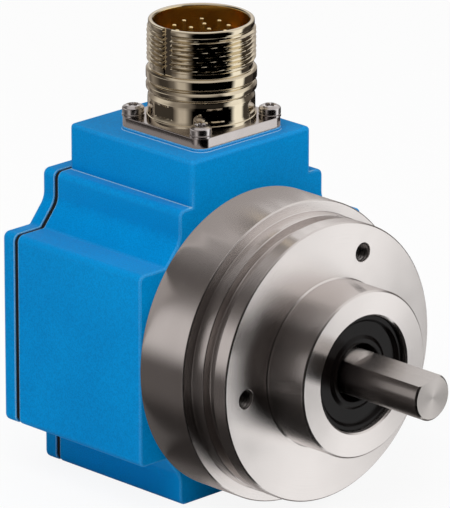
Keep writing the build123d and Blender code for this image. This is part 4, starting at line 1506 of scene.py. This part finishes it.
    def build_shell(self) -> None:
        """Build the shell and give its cup a warmer finish."""
        shell = turned_piece("threaded_shell", Spin.CONNECTOR, self.shell_profile(), self.segments, self.x,
                             self.shell_shape)
        dress(shell, self.finishes.connector_nickel)
        shell.data.materials.append(self.finishes.cup_nickel)
        for polygon in shell.data.polygons:
            middle = polygon.center / MM
            reach = math.hypot(middle.x - self.x, middle.y)
            if reach < self.cup_dia / 2 + self.cup_slack and middle.z > self.insert_high - self.cup_slack:
                polygon.material_index = 1
        put(shell, "stator", "connector_nickel", "connector_shell")

    def pin_spots(self) -> list[Point]:
        """The twelve pins' places.

        Returns:
            The outer ring's places, then the inner ring's.
        """
        axis = (self.x, 0.0)
        outer = ring_points(self.outer_circle / 2, self.outer_pins, axis, math.radians(self.outer_angle))
        return outer + ring_points(self.inner_circle / 2, self.inner_pins, axis)

    def build_insert(self) -> None:
        """Build the insert that holds the pins."""
        radius = self.shell_bore / 2 - self.insert_gap
        profile = rounded([(self.insert_low, 0.0, 0.0), (self.insert_low, radius, 0.2),
                           (self.insert_high, radius, 0.3), (self.insert_high, 0.0, 0.0)], 4, False)
        insert = turned_piece("pin_insert", Spin.CONNECTOR, profile, self.insert_segments, self.x)
        put(dress(insert, self.finishes.insert_plastic), "stator", "insert_plastic", "connector_insert")

    def build_pins(self) -> None:
        """Build the pins with round tips."""
        r = self.pin_dia / 2
        profile = rounded([(self.pin_low, 0.0, 0.0), (self.pin_low, r, 0.1), (self.pin_high, r, 0.45),
                           (self.pin_high, 0.0, 0.0)], 6, False)
        pins = []
        for x, y in self.pin_spots():
            pin = turned_piece("pin", Spin.CONNECTOR, profile, self.small_segments, x)
            pin.data.transform(shift(0.0, y, 0.0))
            pins.append(pin)
        pin_set = join_all("pin_set", pins)
        put(dress(pin_set, self.finishes.contact_gold), "stator", "contact_gold", "contact_pins")

    def build_screws(self) -> None:
        """Build the four screws, each turned to another angle."""
        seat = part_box("connector_washers")[1].z / MM
        screws = []
        for x, y in self.screw_spots():
            screw = Screw("plate_screw", head=4.7, height=2.1, shank=2.5, length=8.0, socket=1.25)
            turn = self.screw_turns[0] * x + self.screw_turns[1] * y
            screws.append(screw.build(shift(x, y, seat) @ Matrix.Rotation(turn, 4, "Z")))
        screw_set = join_all("plate_screw_set", screws)
        put(dress(screw_set, self.finishes.screw_steel), "stator", "screw_steel", "connector_screws")


# Studio


def direction(azimuth: float, elevation: float) -> Vector:
    """The direction towards a place in the studio.

    Args:
        azimuth: degrees from -Y towards +X.
        elevation: degrees above the horizon.

    Returns:
        The direction, one long.
    """
    a, e = math.radians(azimuth), math.radians(elevation)
    return Vector((math.sin(a) * math.cos(e), -math.cos(a) * math.cos(e), math.sin(e)))


def seen_mask(tree: bpy.types.NodeTree) -> bpy.types.NodeSocket:
    """A value that is 1 for the camera, reflections and clear pieces, and 0 for soft light.

    Args:
        tree: the node tree that it is added to.

    Returns:
        The value.
    """
    path = tree.nodes.new("ShaderNodeLightPath")
    seen = path.outputs["Is Camera Ray"]
    for kind in ("Is Glossy Ray", "Is Transmission Ray"):
        either = tree.nodes.new("ShaderNodeMath")
        either.operation = "MAXIMUM"
        tree.links.new(seen, either.inputs[0])
        tree.links.new(path.outputs[kind], either.inputs[1])
        seen = either.outputs[0]
    return seen


def show_in_reflections(obj: bpy.types.Object) -> None:
    """Leave an object to reflections alone, and stage it.

    Args:
        obj: the object.
    """
    obj.visible_camera = False
    obj.visible_diffuse = False
    obj.visible_shadow = False
    obj.visible_transmission = False
    obj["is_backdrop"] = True


@dataclass(frozen=True)
class Lamp:
    """A square soft lamp: angles in degrees, lengths in metres and power in watts."""

    name: str
    azimuth: float
    elevation: float
    distance: float
    size: float
    power: float

    def hang(self) -> None:
        """Hang the lamp so that it looks at the object."""
        data = bpy.data.lights.new(self.name, "AREA")
        data.shape = "SQUARE"
        data.size = self.size
        data.energy = self.power
        lamp = add_object(self.name, data)
        back = direction(self.azimuth, self.elevation)
        lamp.location = back * self.distance
        lamp.visible_glossy = False
        lamp.rotation_mode = "QUATERNION"
        lamp.rotation_quaternion = (-back).to_track_quat("-Z", "Y")


@dataclass
class Studio:
    """The floor, the lamps, what reflections see, and the camera.

    The sky is what bare metal reflects: rings at an elevation, each with its shade at some azimuths.
    """

    azimuth: float = 46.42
    elevation: float = 19.15
    distance: float = 1457.56
    focal: float = 482.67
    sensor: float = 36.0
    clip: Point = (0.05, 50.0)
    target_x: float = -62.54
    aim_right: float = 22.46
    aim_up: float = 8.02
    floor_gap: float = 0.02
    floor_white: float = 0.93
    floor_glow: float = 0.90
    soft_light: float = 0.42
    lamps: tuple[Lamp, ...] = (
        Lamp("key", 20.0, 58.0, 1.1, 0.7, 6.5),
        Lamp("side", 110.0, 35.0, 1.2, 0.6, 4.0))
    # The housing's grey copy in reflections glows from grey_low at its foot to grey_high at grey_height:
    # painted shade and light
    grey: Colour = (1.0, 0.93, 0.90)
    grey_low: float = 0.12
    grey_high: float = 0.40
    grey_height: float = 14.0
    floor_reach: float = 6000.0 * MM
    dome_radius: float = 3000.0 * MM
    dark_warmth: float = 0.12
    blue_loss: float = 1.4
    sky_power: float = 1.22
    sky: tuple[tuple[float, tuple[Point, ...]], ...] = (
        (-42, ((-180, 0.05), (-135, 0.40), (-115, 0.22), (-100, 0.03), (-50, 0.02), (-30, 0.05), (10, 0.12),
               (28, 0.0), (108, 0.0), (117, 0.95), (142, 0.95), (150, 0.05), (180, 0.05))),
        (-19, ((-180, 0.01), (-125, 0.02), (-108, 0.34), (-98, 0.36), (-88, 0.12), (-74, 0.24), (-60, 0.12),
               (-50, 0.04), (-30, 0.05), (-14, 0.16), (-3, 0.50), (10, 0.50), (20, 0.12), (26, 0.0),
               (112, 0.0), (122, 1.0), (141, 1.0), (148, 0.05), (180, 0.05))),
        (8, ((-180, 0.10), (-150, 0.45), (-130, 0.60), (-100, 0.20), (-80, 0.30), (-62, 0.62), (-34, 0.62),
             (-20, 0.30), (10, 0.30), (24, 0.10), (32, 0.0), (104, 0.0), (116, 0.95), (143, 0.95),
             (154, 0.08), (180, 0.10))),
        (36, ((-180, 0.60), (-150, 0.80), (-138, 0.95), (-112, 0.85), (-100, 0.14), (-84, 0.05), (-55, 0.04),
              (-40, 0.10), (-10, 0.30), (20, 0.15), (34, 0.02), (96, 0.02), (110, 0.80), (150, 0.80),
              (180, 0.60))),
        (70, ((-180, 0.55), (180, 0.55))),
    )

    def __post_init__(self) -> None:
        """Work out the camera's directions."""
        self.back = direction(self.azimuth, self.elevation)
        self.right = direction(self.azimuth + 90.0, 0.0)
        self.up = self.back.cross(self.right)

    def build_camera(self) -> None:
        """Stand the camera where the photograph was taken from."""
        data = bpy.data.cameras.new("camera")
        data.lens = self.focal
        data.sensor_width = self.sensor
        data.clip_start, data.clip_end = self.clip
        camera = add_object("camera", data)
        base = Vector((self.target_x, 0.0, 0.0))
        camera.location = (base + self.back * self.distance) * MM
        target = (base + self.right * self.aim_right + self.up * self.aim_up) * MM
        camera.rotation_mode = "QUATERNION"
        camera.rotation_quaternion = (target - camera.location).to_track_quat("-Z", "Y")
        bpy.context.scene.camera = camera

    def build_floor(self) -> None:
        """Lay a pale floor under the object, which keeps the object's shadow."""
        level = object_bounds()[0].z - self.floor_gap * MM
        far = self.floor_reach
        mesh = bpy.data.meshes.new("floor")
        corners = [(-far, -far), (far, -far), (far, far), (-far, far)]
        mesh.from_pydata([(x, y, level) for x, y in corners], [], [(0, 1, 2, 3)])
        floor = add_object("floor", mesh)
        sheet = NodeSheet("floor_white")
        sheet.set(Base_Color=(*[self.floor_white] * 3, 1.0), Roughness=0.8, Specular_IOR_Level=0.1)
        mix = sheet.node("ShaderNodeMixShader")
        sheet.link(sheet.math("MULTIPLY", seen_mask(sheet.tree), self.floor_glow), mix.inputs[0])
        sheet.link(sheet.shader.outputs[0], mix.inputs[1])
        sheet.link(sheet.glow((1.0, 1.0, 1.0, 1.0)), mix.inputs[2])
        sheet.show(mix.outputs[0])
        mesh.materials.append(sheet.material)
        floor.visible_glossy = False
        floor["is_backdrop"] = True

    def build_world(self) -> None:
        """Make the surround white where it is seen, and its soft light weaker."""
        world = bpy.data.worlds.new("studio")
        bpy.context.scene.world = world
        world.use_nodes = True
        tree = world.node_tree
        background = tree.nodes["Background"]
        background.inputs["Color"].default_value = (1.0, 1.0, 1.0, 1.0)
        level = tree.nodes.new("ShaderNodeMapRange")
        level.inputs["To Min"].default_value = self.soft_light
        level.inputs["To Max"].default_value = 1.0
        tree.links.new(seen_mask(tree), level.inputs["Value"])
        tree.links.new(level.outputs["Result"], background.inputs["Strength"])

    def build_dome(self) -> None:
        """Hang a shell round the object that only reflections see, with a studio's dark and light sides."""
        work = bmesh.new()
        bmesh.ops.create_uvsphere(work, u_segments=48, v_segments=24, radius=self.dome_radius)
        mesh = bpy.data.meshes.new("dome")
        work.to_mesh(mesh)
        work.free()
        sheet = NodeSheet("dome_light")
        x, y, z = sheet.split()
        turn = sheet.math("ARCTAN2", x, sheet.math("MULTIPLY", y, -1.0))
        place = sheet.math("MULTIPLY_ADD", turn, 0.5 / math.pi, 0.5)
        rings = [sheet.ramp(place, [self.stop(*shade) for shade in shades]) for _, shades in self.sky]
        levels = [level for level, _ in self.sky]
        colour = rings[0]
        for before, level, ring in zip(levels, levels[1:], rings[1:]):
            quarter = (level - before) / 4
            start = self.dome_radius * math.sin(math.radians(before + quarter))
            end = self.dome_radius * math.sin(math.radians(level - quarter))
            colour = sheet.mix(sheet.rise(z, start, end).outputs["Result"], colour, ring)
        sheet.show(sheet.glow(colour, self.sky_power))
        mesh.materials.append(sheet.material)
        show_in_reflections(add_object("dome", mesh))

    def build_stand_in(self) -> None:
        """Put a grey copy of the housing where reflections would see its blue, which the photograph lacks."""
        sheet = NodeSheet("stand_in_grey")
        # The copy glows darker low down and lighter higher up: painted shade and light in what reflections
        # see
        rise = sheet.rise(sheet.split()["Z"], 0.0, self.grey_height * MM)
        rise.inputs["To Min"].default_value = self.grey_low
        rise.inputs["To Max"].default_value = self.grey_high
        sheet.show(sheet.glow((*self.grey, 1.0), rise.outputs["Result"]))
        for name in ("housing_casting", "cover_casting"):
            shell = bpy.context.scene.objects[name]
            show_in_reflections(dress(add_object(f"{name}_reflection", shell.data.copy()), sheet.material))

    def stop(self, azimuth: float, shade: float) -> tuple[float, Colour]:
        """A ramp stop for one direction, a little warmer in the darker shades.

        Args:
            azimuth: the direction, in degrees.
            shade: how bright it is.

        Returns:
            Its place on the ramp and its colour.
        """
        warm = self.dark_warmth * (1.0 - min(1.0, shade))
        green, blue = shade * (1.0 - warm), shade * (1.0 - self.blue_loss * warm)
        return ((azimuth + 180.0) / 360.0, (shade, green, blue))

    def build(self) -> None:
        """Set up the whole studio."""
        bpy.context.scene.view_settings.view_transform = "Standard"
        self.build_floor()
        self.build_world()
        for lamp in self.lamps:
            lamp.hang()
        self.build_dome()
        self.build_stand_in()
        self.build_camera()


def dress_inner_nodes(frame: dict, finishes: Finishes) -> None:
    """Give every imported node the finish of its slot.

    Args:
        finishes: the encoder's finishes.
    """
    for row in frame["record"]["subparts"]:
        node = frame["nodes"].get(row["node"])
        if node is not None:
            dress(node, finishes.of(row["material_slot"]))


def main() -> None:
    """Build the encoder and its studio."""
    logging.basicConfig(level=logging.INFO)
    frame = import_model()
    finishes = Finishes()
    dress_inner_nodes(frame, finishes)
    for piece in (Housing, Flange, Shaft, LipSeal, Connector):
        piece(finishes).build()
    Studio().build()


if __name__ == "__main__":
    main()
